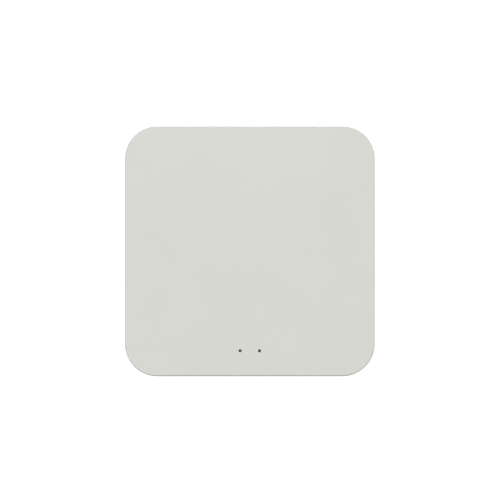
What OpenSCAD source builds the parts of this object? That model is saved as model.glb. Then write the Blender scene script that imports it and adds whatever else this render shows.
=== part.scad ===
// Smart home hub: a square two-part case holding one circuit board, with an inset port panel at the back.
// The origin is the middle of the surface that the feet stand on. +Z is up, and the ports face +Y.

/* [Case] */
// Outer width and depth of the square case
case_w = 95; // [94:0.5:100]
// Overall height, from the feet to the flat top
case_h = 22.5; // [22.5:0.5:26]
// Radius of the case's upright corners
corner_r = 12.2; // [11:0.1:14]
// Thickness of the case's side walls
wall = 2; // [1.8:0.1:2.2]
// Thickness of the cover's flat roof
roof_t = 2; // [1.6:0.1:2]
// Rounding of the cover's upper edge
top_edge_r = 0.5; // [0.3:0.1:1.2]
// Rounding of the lower case's bottom edge
bottom_edge_r = 2; // [1:0.1:2]
// Height of the line where the cover meets the lower case
seam_z = 5; // [4.8:0.1:5.2]
// How far the rubber feet stand below the lower case
foot_h = 1; // [0.8:0.1:1.2]

/* [Indicator lights] */
// Bore of each light hole in the cover
light_hole_d = 1.15; // [1:0.05:1.6]
// Distance between the two light holes
light_pitch = 7.4; // [6.8:0.1:8]
// Distance from the case's front face to the light holes
light_inset = 9.6; // [9:0.1:12]

/* [Ports] */
// Sideways place of the network socket
ethernet_x = -12; // [-13:0.5:-11]
// Sideways place of the reset button
reset_x = 5; // [4:0.5:6]
// Sideways place of the power socket
usb_x = 16; // [15:0.5:17]
// Diameter of the reset button's face
reset_d = 4; // [3:0.1:4.4]
// Travel of the reset button
reset_travel = 0.5; // [0.2:0.1:0.6]

/* [Wall hanging] */
// Distance between the two keyholes
keyhole_pitch = 50; // [46:1:54]
// Width of a keyhole's round entry
keyhole_d = 8; // [7:0.5:8.5]
// Width of a keyhole's narrow slot
keyhole_slot_w = 4.6; // [4.2:0.1:5]

/* [Hidden] */
$fn = 64;

// Colours
shell_white = [0.85, 0.855, 0.83];
panel_grey = [0.62, 0.63, 0.61];
rubber_grey = [0.3, 0.3, 0.3];
board_green = [0.05, 0.28, 0.16];
module_blue = [0.06, 0.12, 0.3];
moulded_black = [0.08, 0.08, 0.09];
steel = [0.75, 0.76, 0.77];
gold = [0.83, 0.66, 0.3];
cut = 1; // how far a cutter runs past the face that it opens

// Case
half_w = case_w / 2;
arc_at = half_w - corner_r;
roof_z = case_h - roof_t;
floor_t = 2;
floor_z = foot_h + floor_t;
inner_half = half_w - wall;
groove = 0.3;
lip_gap = 0.1;
lip_outer = wall / 2 + lip_gap / 2;
lip_z = seam_z + 1.4;
cover_ribs_y = [-22, 0, 22];
cover_rib_half = 30;
floor_ribs_x = [-36, 36];
rib_half_t = 0.5;

// Circuit board
board_z = seam_z + 0.2;
board_t = 1.6;
board_top = board_z + board_t;
board_w = case_w - 8;
board_front = -half_w + 4.5;
board_back = half_w - 3.5;
board_r = 9.5;

// Fixings
corner_fix = half_w - 10;
foot_r = 4.5;
foot_recess = 0.6;
foot_chamfer = 0.4;
screw_r = 1.2;
screw_head_r = 2.4;
screw_length = 12;
screw_seat_z = foot_h + 2.6;
cover_boss_r = 3.2;
case_post_r = 4.2;
board_screw_at = [[-32, -20], [16, 16]];
board_screw_r = 0.8;
board_screw_head_r = 1.9;
board_screw_length = 3.3;
board_post_r = 2.6;

// Underside: keyholes that hang the hub with its ports downwards, air slots and label
keyhole_y = 22;
keyhole_run = 9;
keyhole_land = 1.2;
vent_w = 1.6;
vent_length = 16;
vent_y = 20;
vents_x = [for (i = [-3 : 3]) 3.2 * i];
label_y = -10;
label_w = 46;
label_d = 28;
label_recess = 0.2;

// Port panel, set back from the case's rear face
panel_half = 24;
panel_face = half_w - 0.5;
panel_top = roof_z - 1;
panel_back = inner_half - 1.3;
panel_flange_face = inner_half - 0.1;
panel_flange = 1.5;
port_clear = 0.2;

// Network socket, with its release tab slot at the bottom
ethernet_w = 15.6;
ethernet_h = 11.8;
ethernet_d = 18;
ethernet_face = panel_face - 0.1;
ethernet_back = ethernet_face - ethernet_d;
ethernet_peg_x = 5;
ethernet_peg_y = ethernet_face - 9;
ethernet_peg_r = 1.55;
ethernet_leg_y = ethernet_face - 8;
shield_t = 0.3;
ethernet_roof = board_top + ethernet_h - shield_t;
ethernet_sill = board_top + 4.1;
tab_step_z = board_top + 2.6;
tab_floor_z = board_top + 1.4;
cavity_top = ethernet_roof - 0.8;
cavity_back = ethernet_face - 12.6;
cavity_steps = [ // half width, lowest and highest height
    [5.95, ethernet_sill, cavity_top], [3.2, tab_step_z, ethernet_sill], [1.9, tab_floor_z, tab_step_z]
];
contact_pitch = 1.02;
contact_w = 0.36;
contact_t = 0.15;
contact_rows = [1.6, 4.1];
tail_z = board_z - 1.3;

// Power socket
usb_w = 8.94;
usb_h = 3.26;
usb_d = 7.3;
usb_face = panel_face - 0.4;
usb_back = usb_face - usb_d;
usb_z = board_top + usb_h / 2;
usb_wall = 0.3;
usb_legs_y = [usb_back + 1, usb_back + 3.4];
tongue_w = 6.7;
tongue_t = 0.7;
tongue_root = usb_back + usb_wall + 1.6;
usb_contact_t = 0.05;

// Reset button and its switch
reset_z = board_top + 3.2;
reset_r = reset_d / 2;
reset_flange_r = reset_r + 0.75;
reset_boss_r = 1.5;
running_gap = 0.06;
switch_front = board_back - 2.8;
switch_w = 6;
switch_d = 3.3;
switch_top = reset_z + switch_w / 2;
switch_plate_t = 0.3;
switch_fold_d = 2.6;
switch_leg_y = switch_front - 1.5;
plunger_r = 1.7;
plunger_flange_r = 2;
plunger_tip = switch_front + 1.8;
plunger_inner = switch_front - 1;
dome_floor = plunger_inner - reset_travel - 0.3;
dome_t = 0.15;
dome_base_r = 1.9;
dome_rise = plunger_inner - dome_floor - 0.05;
dome_r = (dome_rise ^ 2 + dome_base_r ^ 2) / (2 * dome_rise);

// Lights
light_y = -half_w + light_inset;
guide_r = 1.4;
guide_tip_r = light_hole_d / 2 - 0.075;
guide_tip_z = case_h - 0.3;
shroud_top = board_top + 5;
guide_bar_z = roof_z - 4.5;
guide_bar_t = 1.4;
guide_peg_x = light_pitch / 2 + 4.8;
guide_peg_r = 0.9;
guide_stop_r = 1.8;

// Chips and modules: middle of each, in the board's plane
can_at = [-2, -6];
can_size = [30, 24, 3];
can_t = 0.2;
processor_at = can_at + [-6, 0];
processor_h = 1;
memory_at = can_at + [8, 2];
transformer_at = [ethernet_x, 19];
wireless_at = [-31, 2];
mesh_at = [31, -6];
module_board_t = 0.8;
inductor_at = [22, 27];
capacitors_at = [[38, 12], [30.5, 12]];
crystals_at = [[-2, -23], [20, 4]];

// Antennas on the side walls, and their leads down to plugs on the board
antenna_z = 9;
antenna_h = 8;
antenna_t = 0.3;
lead_r = 0.57;
wireless_lead = [
    [-44.6, 10, 13], [-44.6, 12.5, 13], [-44.2, 15, 12.8], [-42.9, 17.2, 11.8], [-41.5, 19.2, 10.5],
    [-40, 21.2, 9.3], [-38, 22.9, 8.5], [-35.6, 23.8, 8.1], [-33.2, 23.3, 8.1], [-31.3, 21.6, 8.1],
    [-30.6, 19.5, 8.1], [-30.5, 17.5, 8.1]
];
mesh_lead = [
    [44.6, -16, 13], [44.6, -18.5, 13], [44.2, -20.8, 12.8], [42.9, -22.8, 11.8], [41.5, -24.6, 10.5],
    [40, -26.4, 9.3], [38, -27.8, 8.5], [35.6, -28.6, 8.1], [33.2, -28.1, 8.1], [31.3, -26.4, 8.1],
    [30.6, -24.2, 8.1], [30.5, -22, 8.1]
];
plugs_at = [[-30.5, 16.2], [30.5, -20.7]];
plug_r = 1.25;
plug_base_t = 0.5;

// ---- Shapes that repeat ----

// Points of an arc round c, from angle a to angle b in n steps.
function arc_points(c, r, a, b, n) =
    [for (i = [0 : n]) let (t = a + (b - a) * i / n) c + r * [cos(t), sin(t)]];

// Plate with upright rounded corners, standing on z = 0.
module slab(w, d, r, h) {
    if (w > 2 * r)
        translate([-w / 2 + r, -d / 2, 0]) cube([w - 2 * r, d, h]);
    if (d > 2 * r)
        for (x = [-w / 2, w / 2 - r])
            translate([x, -d / 2 + r, 0]) cube([r, d - 2 * r, h]);
    for (k = [0 : 3]) {
        sx = (k == 0 || k == 3) ? 1 : -1;
        sy = k < 2 ? 1 : -1;
        translate([sx * (w / 2 - r), sy * (d / 2 - r), 0])
            rotate([0, 0, 90 * k])
                rotate_extrude(angle = 90) square([r, h]);
    }
}

// Carries an outline round the case's rounded square. A point is [distance in from the side, height].
module case_rim(outline) {
    section = [for (p = outline) [corner_r - p[0], p[1]]];
    for (k = [0 : 3])
        rotate([0, 0, 90 * k]) translate([arc_at, arc_at, 0]) {
            rotate_extrude(angle = 90) polygon(section);
            rotate([90, 0, 0]) linear_extrude(2 * arc_at) polygon(section);
        }
}

// Bore or shaft along +Z from z = low to z = high.
module post(at, r, low, high)
    translate([at[0], at[1], low]) cylinder(r = r, h = high - low);

// Shaft or bore along Y from y = back to y = front, at a sideways place and height.
module y_shaft(x, z, r, back, front)
    translate([x, front, z]) rotate([90, 0, 0]) cylinder(r = r, h = front - back);

// Block given by its lowest and highest corners.
module block(low, high)
    translate(low) cube(high - low);

// Component body centred on a place of the board, standing on a height.
module chip(at, size, z = board_top)
    translate([at[0] - size[0] / 2, at[1] - size[1] / 2, z]) cube(size);

// Stadium-shaped bar along Y.
module y_stadium(x, z, w, h, back, front)
    translate([x, front, z]) rotate([90, 0, 0]) slab(w, h, h / 2, front - back);

// The four corner fixing places.
module at_corners()
    for (x = [-1, 1], y = [-1, 1])
        translate([x * corner_fix, y * corner_fix, 0]) children();

// Round tube swept along a route of points.
module swept_tube(route, r, sides = 8) {
    last = len(route) - 1;
    rings = [
        for (i = [0 : last])
            let (
                ahead = route[min(i + 1, last)] - route[max(i - 1, 0)],
                along = ahead / norm(ahead),
                side = cross(along, [0, 0, 1]) / norm(cross(along, [0, 0, 1])),
                rise = cross(side, along)
            )
            for (k = [0 : sides - 1])
                let (t = 360 * k / sides)
                route[i] + r * (cos(t) * side + sin(t) * rise)
    ];
    skin = [
        for (i = [0 : last - 1], k = [0 : sides - 1])
            let (a = i * sides + k, b = i * sides + (k + 1) % sides)
            each [[a, b, b + sides], [a, b + sides, a + sides]]
    ];
    near_end = [[for (k = [sides - 1 : -1 : 0]) k]];
    far_end = [[for (k = [0 : sides - 1]) last * sides + k]];
    polyhedron(rings, concat(skin, near_end, far_end), convexity = 4);
}

// ---- Case ----

// Round entry, narrow slot, and the pocket above them that takes the screw's head.
module keyhole(x) {
    mid_y = keyhole_y - keyhole_run / 2;
    pocket_w = keyhole_d + 1;
    post([x, keyhole_y], keyhole_d / 2, foot_h - cut, floor_z + cut);
    translate([x, mid_y, foot_h - cut])
        slab(keyhole_slot_w, keyhole_run + keyhole_slot_w, keyhole_slot_w / 2, floor_t + 2 * cut);
    translate([x, mid_y, foot_h + keyhole_land])
        slab(pocket_w, keyhole_run + pocket_w, pocket_w / 2, floor_t);
}

module top_cover() color(shell_white) difference() {
    union() {
        case_rim(concat(
            [[groove, seam_z], [groove, seam_z + groove], [0, seam_z + groove]],
            arc_points([top_edge_r, case_h - top_edge_r], top_edge_r, 180, 90, 8),
            [[corner_r, case_h], [corner_r, roof_z], [wall, roof_z], [wall, lip_z + lip_gap],
             [lip_outer - lip_gap, lip_z + lip_gap], [lip_outer - lip_gap, seam_z]]
        ));
        block([-arc_at, -arc_at, roof_z], [arc_at, arc_at, case_h]);
        at_corners() {
            post([0, 0], cover_boss_r, board_top, roof_z);
            for (k = [0 : 3])
                rotate([0, 0, 90 * k])
                    block([cover_boss_r - 0.2, -rib_half_t, roof_z - 5], [5, rib_half_t, roof_z]);
        }
        for (x = [-guide_peg_x, guide_peg_x]) {
            post([x, light_y], guide_stop_r, guide_bar_z + guide_bar_t, roof_z);
            post([x, light_y], guide_peg_r, guide_bar_z - 0.6, roof_z);
        }
        // ribs that keep the port panel square in its opening
        for (s = [-1, 1])
            translate([s * (panel_half + panel_flange + 0.9), 0, 0])
                block([-0.6, panel_back + 0.1, board_top], [0.6, inner_half, roof_z]);
        for (y = cover_ribs_y)
            block([-cover_rib_half, y - rib_half_t, roof_z - 0.8], [cover_rib_half, y + rib_half_t, roof_z]);
    }
    at_corners() post([0, 0], screw_r + 0.05, board_top - cut, board_top + 10);
    at_lights() post([0, 0], light_hole_d / 2, roof_z - cut, case_h + cut);
    block(
        [-panel_half - 0.15, panel_flange_face, seam_z - cut],
        [panel_half + 0.15, half_w + cut, panel_top + 0.1]
    );
}

module bottom_case() color(shell_white) difference() {
    union() {
        case_rim(concat(
            arc_points([bottom_edge_r, foot_h + bottom_edge_r], bottom_edge_r, 270, 180, 8),
            [[0, seam_z], [lip_outer, seam_z], [lip_outer, lip_z], [wall, lip_z], [wall, floor_z],
             [corner_r, floor_z], [corner_r, foot_h]]
        ));
        block([-arc_at, -arc_at, foot_h], [arc_at, arc_at, floor_z]);
        at_corners() post([0, 0], case_post_r, floor_z, board_z);
        for (at = board_screw_at) post(at, board_post_r, floor_z, board_z);
        for (x = floor_ribs_x)
            block([x - rib_half_t, -28, floor_z], [x + rib_half_t, 10, board_z - 0.6]);
    }
    at_corners() {
        post([0, 0], foot_r + 0.1, foot_h - cut, foot_h + foot_recess);
        post([0, 0], screw_head_r + 0.3, foot_h, screw_seat_z);
        post([0, 0], screw_r + 0.25, foot_h, board_z + cut);
    }
    for (at = board_screw_at) post(at, board_screw_r + 0.05, floor_z + 0.2, board_z + cut);
    for (x = [-keyhole_pitch / 2, keyhole_pitch / 2]) keyhole(x);
    for (x = vents_x)
        translate([x, vent_y, foot_h - cut]) slab(vent_w, vent_length, vent_w / 2, floor_t + 2 * cut);
    translate([0, label_y, foot_h - cut]) slab(label_w, label_d, 2, cut + label_recess);
    // the lip stops where the port panel stands
    block([-panel_half - 0.4, inner_half - 0.5, seam_z], [panel_half + 0.4, half_w - 0.4, lip_z + cut]);
}

module port_panel() color(panel_grey) difference() {
    union() {
        block([-panel_half, panel_flange_face, seam_z + 0.05], [panel_half, panel_face, panel_top]);
        block(
            [-panel_half - panel_flange, panel_back, board_z],
            [panel_half + panel_flange, panel_flange_face, roof_z - 0.3]
        );
    }
    block(
        [ethernet_x - ethernet_w / 2 - port_clear, panel_back - cut, board_top - port_clear],
        [ethernet_x + ethernet_w / 2 + port_clear, half_w, board_top + ethernet_h + port_clear]
    );
    y_stadium(usb_x, usb_z, usb_w + 2 * port_clear, usb_h + 2 * port_clear, panel_back - cut, half_w);
    y_shaft(reset_x, reset_z, reset_r + running_gap, panel_back - cut, half_w);
}

module rubber_feet() color(rubber_grey) at_corners()
    rotate_extrude() polygon([
        [0, 0], [foot_r - foot_chamfer, 0], [foot_r, foot_chamfer],
        [foot_r, foot_h + foot_recess], [0, foot_h + foot_recess]
    ]);

module rating_label() color([0.93, 0.93, 0.92])
    translate([0, label_y, foot_h + label_recess - 0.12]) slab(label_w - 1, label_d - 1, 1.5, 0.12);

// ---- Fasteners ----

// Cross-recessed screw pointing up from its seat, head below.
module pan_screw(head_r, head_h, shank_r, shank_h) {
    recess_half = head_r / 2;
    blade = 0.22;
    difference() {
        union() {
            translate([0, 0, -head_h]) cylinder(r1 = head_r - 0.4, r2 = head_r, h = head_h);
            cylinder(r = shank_r, h = shank_h - shank_r);
            translate([0, 0, shank_h - shank_r]) cylinder(r1 = shank_r, r2 = 0.3, h = shank_r);
        }
        for (a = [0, 90])
            rotate([0, 0, a])
                block([-recess_half, -blade, -head_h - cut], [recess_half, blade, -head_h + 0.7]);
    }
}

module case_screws() color(steel) at_corners()
    translate([0, 0, screw_seat_z]) pan_screw(screw_head_r, 1.5, screw_r, screw_length);

module board_screws() color(steel)
    for (at = board_screw_at)
        translate([at[0], at[1], board_top])
            rotate([180, 0, 0]) pan_screw(board_screw_head_r, 1.2, board_screw_r, board_screw_length);

// ---- Circuit board ----

// Hole right through the board, round or oblong.
module board_hole(at, r) post(at, r, board_z - cut, board_top + cut);

module leg_slot(x, y, length) chip([x, y], [0.8, length, board_t + 2 * cut], board_z - cut);

module main_board() color(board_green) difference() {
    translate([0, (board_front + board_back) / 2, board_z])
        slab(board_w, board_back - board_front, board_r, board_t);
    at_corners() board_hole([0, 0], screw_r + 0.4);
    for (at = board_screw_at) board_hole(at, board_screw_r + 0.35);
    for (s = [-1, 1]) {
        board_hole([ethernet_x + s * ethernet_peg_x, ethernet_peg_y], ethernet_peg_r + 0.1);
        leg_slot(ethernet_x + s * (ethernet_w - shield_t) / 2, ethernet_leg_y, 2);
        for (y = usb_legs_y) leg_slot(usb_x + s * (usb_w - usb_wall) / 2, y, 1.6);
        leg_slot(reset_x + s * (switch_w + switch_plate_t) / 2, switch_leg_y, 1.6);
    }
    for (i = [0 : 7]) board_hole([contact_x(i), ethernet_back + contact_rows[i % 2]], 0.45);
}

module processor() color(moulded_black) chip(processor_at, [12, 12, processor_h]);

module memory_chip() color(moulded_black) chip(memory_at, [8, 12, 1]);

module thermal_pad() color([0.55, 0.62, 0.72])
    chip(processor_at, [10, 10, can_size[2] - can_t - processor_h], board_top + processor_h);

module shield_can() color(steel) difference() {
    chip(can_at, can_size);
    chip(can_at, can_size - [2 * can_t, 2 * can_t, can_t - cut], board_top - cut);
    for (x = [-9 : 3 : 9], y = [-9, 9])
        post(can_at + [x, y], 0.5, board_top + 1, board_top + can_size[2] + cut);
}

// Moulded package with a row of bent leads on two sides.
module leaded_chip(at, body, leads, pitch) {
    stand = 0.1;
    lead_t = 0.15;
    lead_w = 0.4;
    knee = 0.5;
    reach = 1.1;
    knee_z = stand + body[2] * 0.4;
    color(moulded_black) chip(at, body, board_top + stand);
    color(steel)
        for (s = [-1, 1], i = [0 : leads - 1])
            translate([at[0] + s * body[0] / 2, at[1] + (i - (leads - 1) / 2) * pitch, board_top])
                rotate([90, 0, 0]) linear_extrude(lead_w, center = true) polygon([
                    [0, knee_z], [s * knee, knee_z], [s * knee, lead_t], [s * reach, lead_t],
                    [s * reach, 0], [s * (knee - lead_t), 0], [s * (knee - lead_t), knee_z - lead_t],
                    [0, knee_z - lead_t]
                ]);
}

module flash_chip() leaded_chip([20, -22], [5, 5.2, 1.6], 4, 1.27);

module ethernet_transformer() leaded_chip(transformer_at, [9.4, 12.8, 5.4], 8, 1.27);

module voltage_regulator() leaded_chip([30, 31], [3.5, 6.5, 1.6], 3, 2.3);

module power_inductor() color([0.25, 0.25, 0.26]) difference() {
    translate([inductor_at[0], inductor_at[1], board_top]) slab(6, 6, 0.8, 2.8);
    post(inductor_at, 2.2, board_top + 2.5, board_top + 2.8 + cut);
}

module bulk_capacitors()
    for (at = capacitors_at) {
        base_t = 0.9;
        color(moulded_black) translate([at[0], at[1], board_top]) slab(6.6, 6.6, 0.9, base_t);
        color([0.8, 0.81, 0.82]) post(at, 3.1, board_top + base_t, board_top + 7.6);
    }

module crystals() color(steel)
    for (at = crystals_at)
        translate([at[0], at[1], board_top]) slab(3.2, 2.5, 0.4, 0.8);

module ceramic_capacitors() color([0.62, 0.5, 0.38]) {
    for (i = [0 : 8]) chip([-18 + 4 * i, -31], [1.6, 0.8, 0.8]);
    for (i = [0 : 5]) chip([-20.6, -14 + 3 * i], [0.8, 1.6, 0.8]);
    for (i = [0 : 4]) chip([16.8, -14 + 3 * i], [0.8, 1.6, 0.8]);
    for (i = [0 : 3]) chip([7 + 3 * i, 33], [1.6, 0.8, 0.8]);
}

module chip_resistors() color([0.12, 0.12, 0.14]) {
    for (i = [0 : 8]) chip([-18 + 4 * i, -28], [1.6, 0.8, 0.45]);
    for (i = [0 : 4]) chip([-1 + 3 * i, 17], [0.8, 1.6, 0.45]);
    for (i = [0 : 3]) chip([-30 + 2 * i, 30], [0.8, 1.6, 0.45]);
}

// ---- Radio modules and antennas ----

module radio_board(at) color(module_blue) chip(at, [17, 21, module_board_t]);

module radio_can(at) {
    middle = at + [0, -2.5];
    side = 14;
    height = 2.2;
    color(steel) difference() {
        chip(middle, [side, side, height], board_top + module_board_t);
        chip(middle, [side - 2 * can_t, side - 2 * can_t, height], board_top + module_board_t - can_t);
    }
}

module wireless_module_board() radio_board(wireless_at);

module wireless_module_can() radio_can(wireless_at);

module mesh_module_board() radio_board(mesh_at);

module mesh_module_can() radio_can(mesh_at);

module wireless_antenna() color([0.1, 0.1, 0.1])
    block([-inner_half, -16, antenna_z], [-inner_half + antenna_t, 16, antenna_z + antenna_h]);

module mesh_antenna() color([0.1, 0.1, 0.1])
    block([inner_half - antenna_t, -24, antenna_z], [inner_half, 4, antenna_z + antenna_h]);

module wireless_antenna_lead() color([0.15, 0.15, 0.15]) swept_tube(wireless_lead, lead_r);

module mesh_antenna_lead() color([0.15, 0.15, 0.15]) swept_tube(mesh_lead, lead_r);

module antenna_plugs() color(gold)
    for (at = plugs_at) post(at, plug_r, board_top + plug_base_t, board_top + 1.9);

module antenna_sockets() color([0.9, 0.9, 0.86])
    for (at = plugs_at) chip(at, [2.6, 2.6, plug_base_t]);

// ---- Lights ----

module at_lights()
    for (x = [-light_pitch / 2, light_pitch / 2])
        translate([x, light_y, 0]) children();

module status_leds() color([0.95, 0.94, 0.85]) at_lights()
    chip([0, 0], [1.6, 0.8, 0.5]);

module light_shroud() color(moulded_black) difference() {
    translate([0, light_y, board_top]) slab(light_pitch + 6.2, 5.4, 1, shroud_top - board_top);
    at_lights() post([0, 0], guide_r + 0.25, board_top - cut, shroud_top + cut);
}

module light_guide() color([0.9, 0.93, 0.95]) difference() {
    union() {
        at_lights() {
            post([0, 0], guide_r, board_top + 0.8, roof_z - 0.2);
            post([0, 0], guide_tip_r, roof_z - 0.2, guide_tip_z);
        }
        translate([0, light_y, guide_bar_z]) slab(2 * guide_peg_x + 4, 4, 1.9, guide_bar_t);
    }
    for (x = [-guide_peg_x, guide_peg_x])
        post([x, light_y], guide_peg_r + 0.05, guide_bar_z - cut, guide_bar_z + guide_bar_t + cut);
}

// ---- Reset button and switch ----

module reset_button() color(shell_white) {
    y_shaft(reset_x, reset_z, reset_r, panel_back - 0.2, panel_face - 0.1);
    y_shaft(reset_x, reset_z, reset_flange_r, panel_back - 0.9, panel_back - 0.1);
    y_shaft(reset_x, reset_z, reset_boss_r, plunger_tip + 0.05, panel_back - 0.8);
}

module reset_switch_base() color(moulded_black) difference() {
    block(
        [reset_x - switch_w / 2, switch_front - switch_d, board_top],
        [reset_x + switch_w / 2, switch_front, switch_top]
    );
    y_shaft(reset_x, reset_z, plunger_flange_r + 0.15, dome_floor, switch_front + cut);
}

// Pressed metal frame: front plate, top, two cheeks and two legs through the board.
module reset_switch_frame() {
    out_w = switch_w + 2 * switch_plate_t;
    color(steel) difference() {
        translate([reset_x, 0, 0]) {
            block(
                [-out_w / 2, switch_front, board_top],
                [out_w / 2, switch_front + switch_plate_t, switch_top + switch_plate_t]
            );
            block(
                [-out_w / 2, switch_front - switch_fold_d, switch_top],
                [out_w / 2, switch_front, switch_top + switch_plate_t]
            );
            for (x = [-out_w / 2, switch_w / 2]) {
                block(
                    [x, switch_front - switch_fold_d, board_top],
                    [x + switch_plate_t, switch_front, switch_top]
                );
                block([x, switch_leg_y - 0.5, tail_z], [x + switch_plate_t, switch_leg_y + 0.5, board_top]);
            }
        }
        y_shaft(reset_x, reset_z, plunger_r + running_gap, switch_front - cut, switch_front + cut);
    }
}

module reset_switch_plunger() color([0.2, 0.2, 0.21]) {
    y_shaft(reset_x, reset_z, plunger_r, plunger_inner, plunger_tip);
    y_shaft(reset_x, reset_z, plunger_flange_r, plunger_inner, switch_front - 0.1);
}

// Snap dome that returns the plunger, bulging towards it.
module reset_switch_dome() color(steel)
    translate([reset_x, dome_floor, reset_z]) rotate([-90, 0, 0]) difference() {
        intersection() {
            translate([0, 0, dome_rise - dome_r]) sphere(r = dome_r);
            cylinder(r = dome_base_r + 1, h = dome_rise + 1);
        }
        translate([0, 0, dome_rise - dome_r]) sphere(r = dome_r - dome_t);
    }

// ---- Network socket ----

function contact_x(i) = ethernet_x + (i - 3.5) * contact_pitch;

// One contact: a tail through the board, a run under the roof and a spring sloping back down.
module ethernet_contact(i) {
    tail_y = ethernet_back + contact_rows[i % 2];
    run_z = cavity_top + 0.45;
    bend_y = ethernet_face - 1.9;
    tip_y = cavity_back + 1.1;
    tip_z = cavity_top - 3.3;
    translate([contact_x(i) - contact_w / 2, 0, 0])
        rotate([90, 0, 90]) linear_extrude(contact_w) polygon([
            [tail_y - contact_t, tail_z], [tail_y + contact_t, tail_z],
            [tail_y + contact_t, run_z - contact_t], [bend_y - 1.4, run_z - contact_t],
            [tip_y - 0.1, tip_z + 2 * contact_t], [tip_y, tip_z], [bend_y, run_z - 2 * contact_t],
            [bend_y, run_z + contact_t], [tail_y - contact_t, run_z + contact_t]
        ]);
}

module ethernet_contacts() color(gold)
    for (i = [0 : 7]) ethernet_contact(i);

module ethernet_housing() color(moulded_black) difference() {
    union() {
        block(
            [ethernet_x - ethernet_w / 2 + shield_t, ethernet_back + shield_t, board_top],
            [ethernet_x + ethernet_w / 2 - shield_t, ethernet_face, ethernet_roof]
        );
        for (s = [-1, 1])
            post([ethernet_x + s * ethernet_peg_x, ethernet_peg_y], ethernet_peg_r, tail_z + 0.4, board_top);
    }
    for (step = cavity_steps)
        block([ethernet_x - step[0], cavity_back, step[1]], [ethernet_x + step[0], half_w, step[2]]);
    for (i = [0 : 7]) {
        ethernet_contact(i);
        // the slot in the roof that lets the spring bend down into the cavity
        translate([contact_x(i), ethernet_face, cavity_top])
            block([-contact_w / 2, -3.4, -0.5], [contact_w / 2, -1.9, 0.4]);
    }
}

// Folded metal shield over the top, sides and back, with a leg each side.
module ethernet_shield() color(steel) {
    difference() {
        block(
            [ethernet_x - ethernet_w / 2, ethernet_back, board_top],
            [ethernet_x + ethernet_w / 2, ethernet_face, board_top + ethernet_h]
        );
        block(
            [ethernet_x - ethernet_w / 2 + shield_t, ethernet_back + shield_t, board_top - cut],
            [ethernet_x + ethernet_w / 2 - shield_t, ethernet_face + cut, ethernet_roof]
        );
    }
    for (x = [-ethernet_w / 2, ethernet_w / 2 - shield_t])
        translate([ethernet_x + x, ethernet_leg_y, 0])
            block([0, -0.7, tail_z], [shield_t, 0.7, board_top]);
}

// ---- Power socket ----

// The stadium-shaped space inside the shell, from its closed back to a plane.
module usb_bore(front)
    y_stadium(usb_x, usb_z, usb_w - 2 * usb_wall, usb_h - 2 * usb_wall, usb_back + usb_wall, front);

module usb_shell() color(steel) {
    difference() {
        y_stadium(usb_x, usb_z, usb_w, usb_h, usb_back, usb_face);
        usb_bore(usb_face + cut);
    }
    for (x = [-usb_w / 2, usb_w / 2 - usb_wall], y = usb_legs_y)
        translate([usb_x + x, y, 0]) block([0, -0.5, tail_z], [usb_wall, 0.5, usb_z]);
}

module usb_tongue() color(moulded_black) {
    usb_bore(tongue_root);
    block(
        [usb_x - tongue_w / 2, tongue_root, usb_z - tongue_t / 2],
        [usb_x + tongue_w / 2, usb_face - 0.7, usb_z + tongue_t / 2]
    );
}

module usb_contacts() color(gold)
    for (i = [-5.5 : 5.5], z = [-tongue_t / 2 - usb_contact_t, tongue_t / 2])
        translate([usb_x + i * 0.5 - 0.14, usb_face - 4.6, usb_z + z])
            cube([0.28, 3.2, usb_contact_t]);

// ---- Assembly ----

top_cover();
bottom_case();
port_panel();
rubber_feet();
rating_label();
case_screws();
board_screws();
main_board();
light_guide();
light_shroud();
status_leds();
reset_button();
reset_switch_base();
reset_switch_frame();
reset_switch_plunger();
reset_switch_dome();
ethernet_shield();
ethernet_housing();
ethernet_contacts();
ethernet_transformer();
usb_shell();
usb_tongue();
usb_contacts();
processor();
memory_chip();
flash_chip();
thermal_pad();
shield_can();
wireless_module_board();
wireless_module_can();
mesh_module_board();
mesh_module_can();
wireless_antenna();
mesh_antenna();
wireless_antenna_lead();
mesh_antenna_lead();
antenna_plugs();
antenna_sockets();
voltage_regulator();
power_inductor();
bulk_capacitors();
crystals();
ceramic_capacitors();
chip_resistors();
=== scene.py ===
"""Looks of the smart home hub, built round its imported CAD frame.

Shapes are worked out in millimetres from the frame's own boxes and turned into metres when a mesh is made.
+Z is up, the ports face +Y and the lights stand near the -Y edge.
"""

import math

import bmesh
import bpy
from mathutils import Matrix, Vector


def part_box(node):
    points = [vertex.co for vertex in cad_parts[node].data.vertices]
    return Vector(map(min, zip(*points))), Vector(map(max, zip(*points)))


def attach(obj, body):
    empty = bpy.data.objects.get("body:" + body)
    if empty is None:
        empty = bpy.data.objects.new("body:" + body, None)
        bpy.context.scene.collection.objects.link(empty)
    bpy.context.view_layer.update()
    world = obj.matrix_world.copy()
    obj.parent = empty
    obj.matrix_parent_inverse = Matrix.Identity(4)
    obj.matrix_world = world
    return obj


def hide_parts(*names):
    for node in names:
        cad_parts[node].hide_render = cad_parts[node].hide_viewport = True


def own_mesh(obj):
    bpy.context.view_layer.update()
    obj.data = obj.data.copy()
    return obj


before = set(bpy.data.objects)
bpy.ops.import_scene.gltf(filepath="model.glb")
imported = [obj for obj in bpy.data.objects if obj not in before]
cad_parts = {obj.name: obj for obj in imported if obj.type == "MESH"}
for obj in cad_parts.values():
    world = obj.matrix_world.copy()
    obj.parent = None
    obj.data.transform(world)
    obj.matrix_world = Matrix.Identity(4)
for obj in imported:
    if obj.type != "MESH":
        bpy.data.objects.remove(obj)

MM = 0.001
ARC_STEPS = 20
CIRCLE_STEPS = 64
SMOOTH_ANGLE = math.radians(38)


def box_mm(node):
    low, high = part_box(node)
    return low / MM, high / MM


def middle_of(low, high):
    return (low + high) / 2


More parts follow.
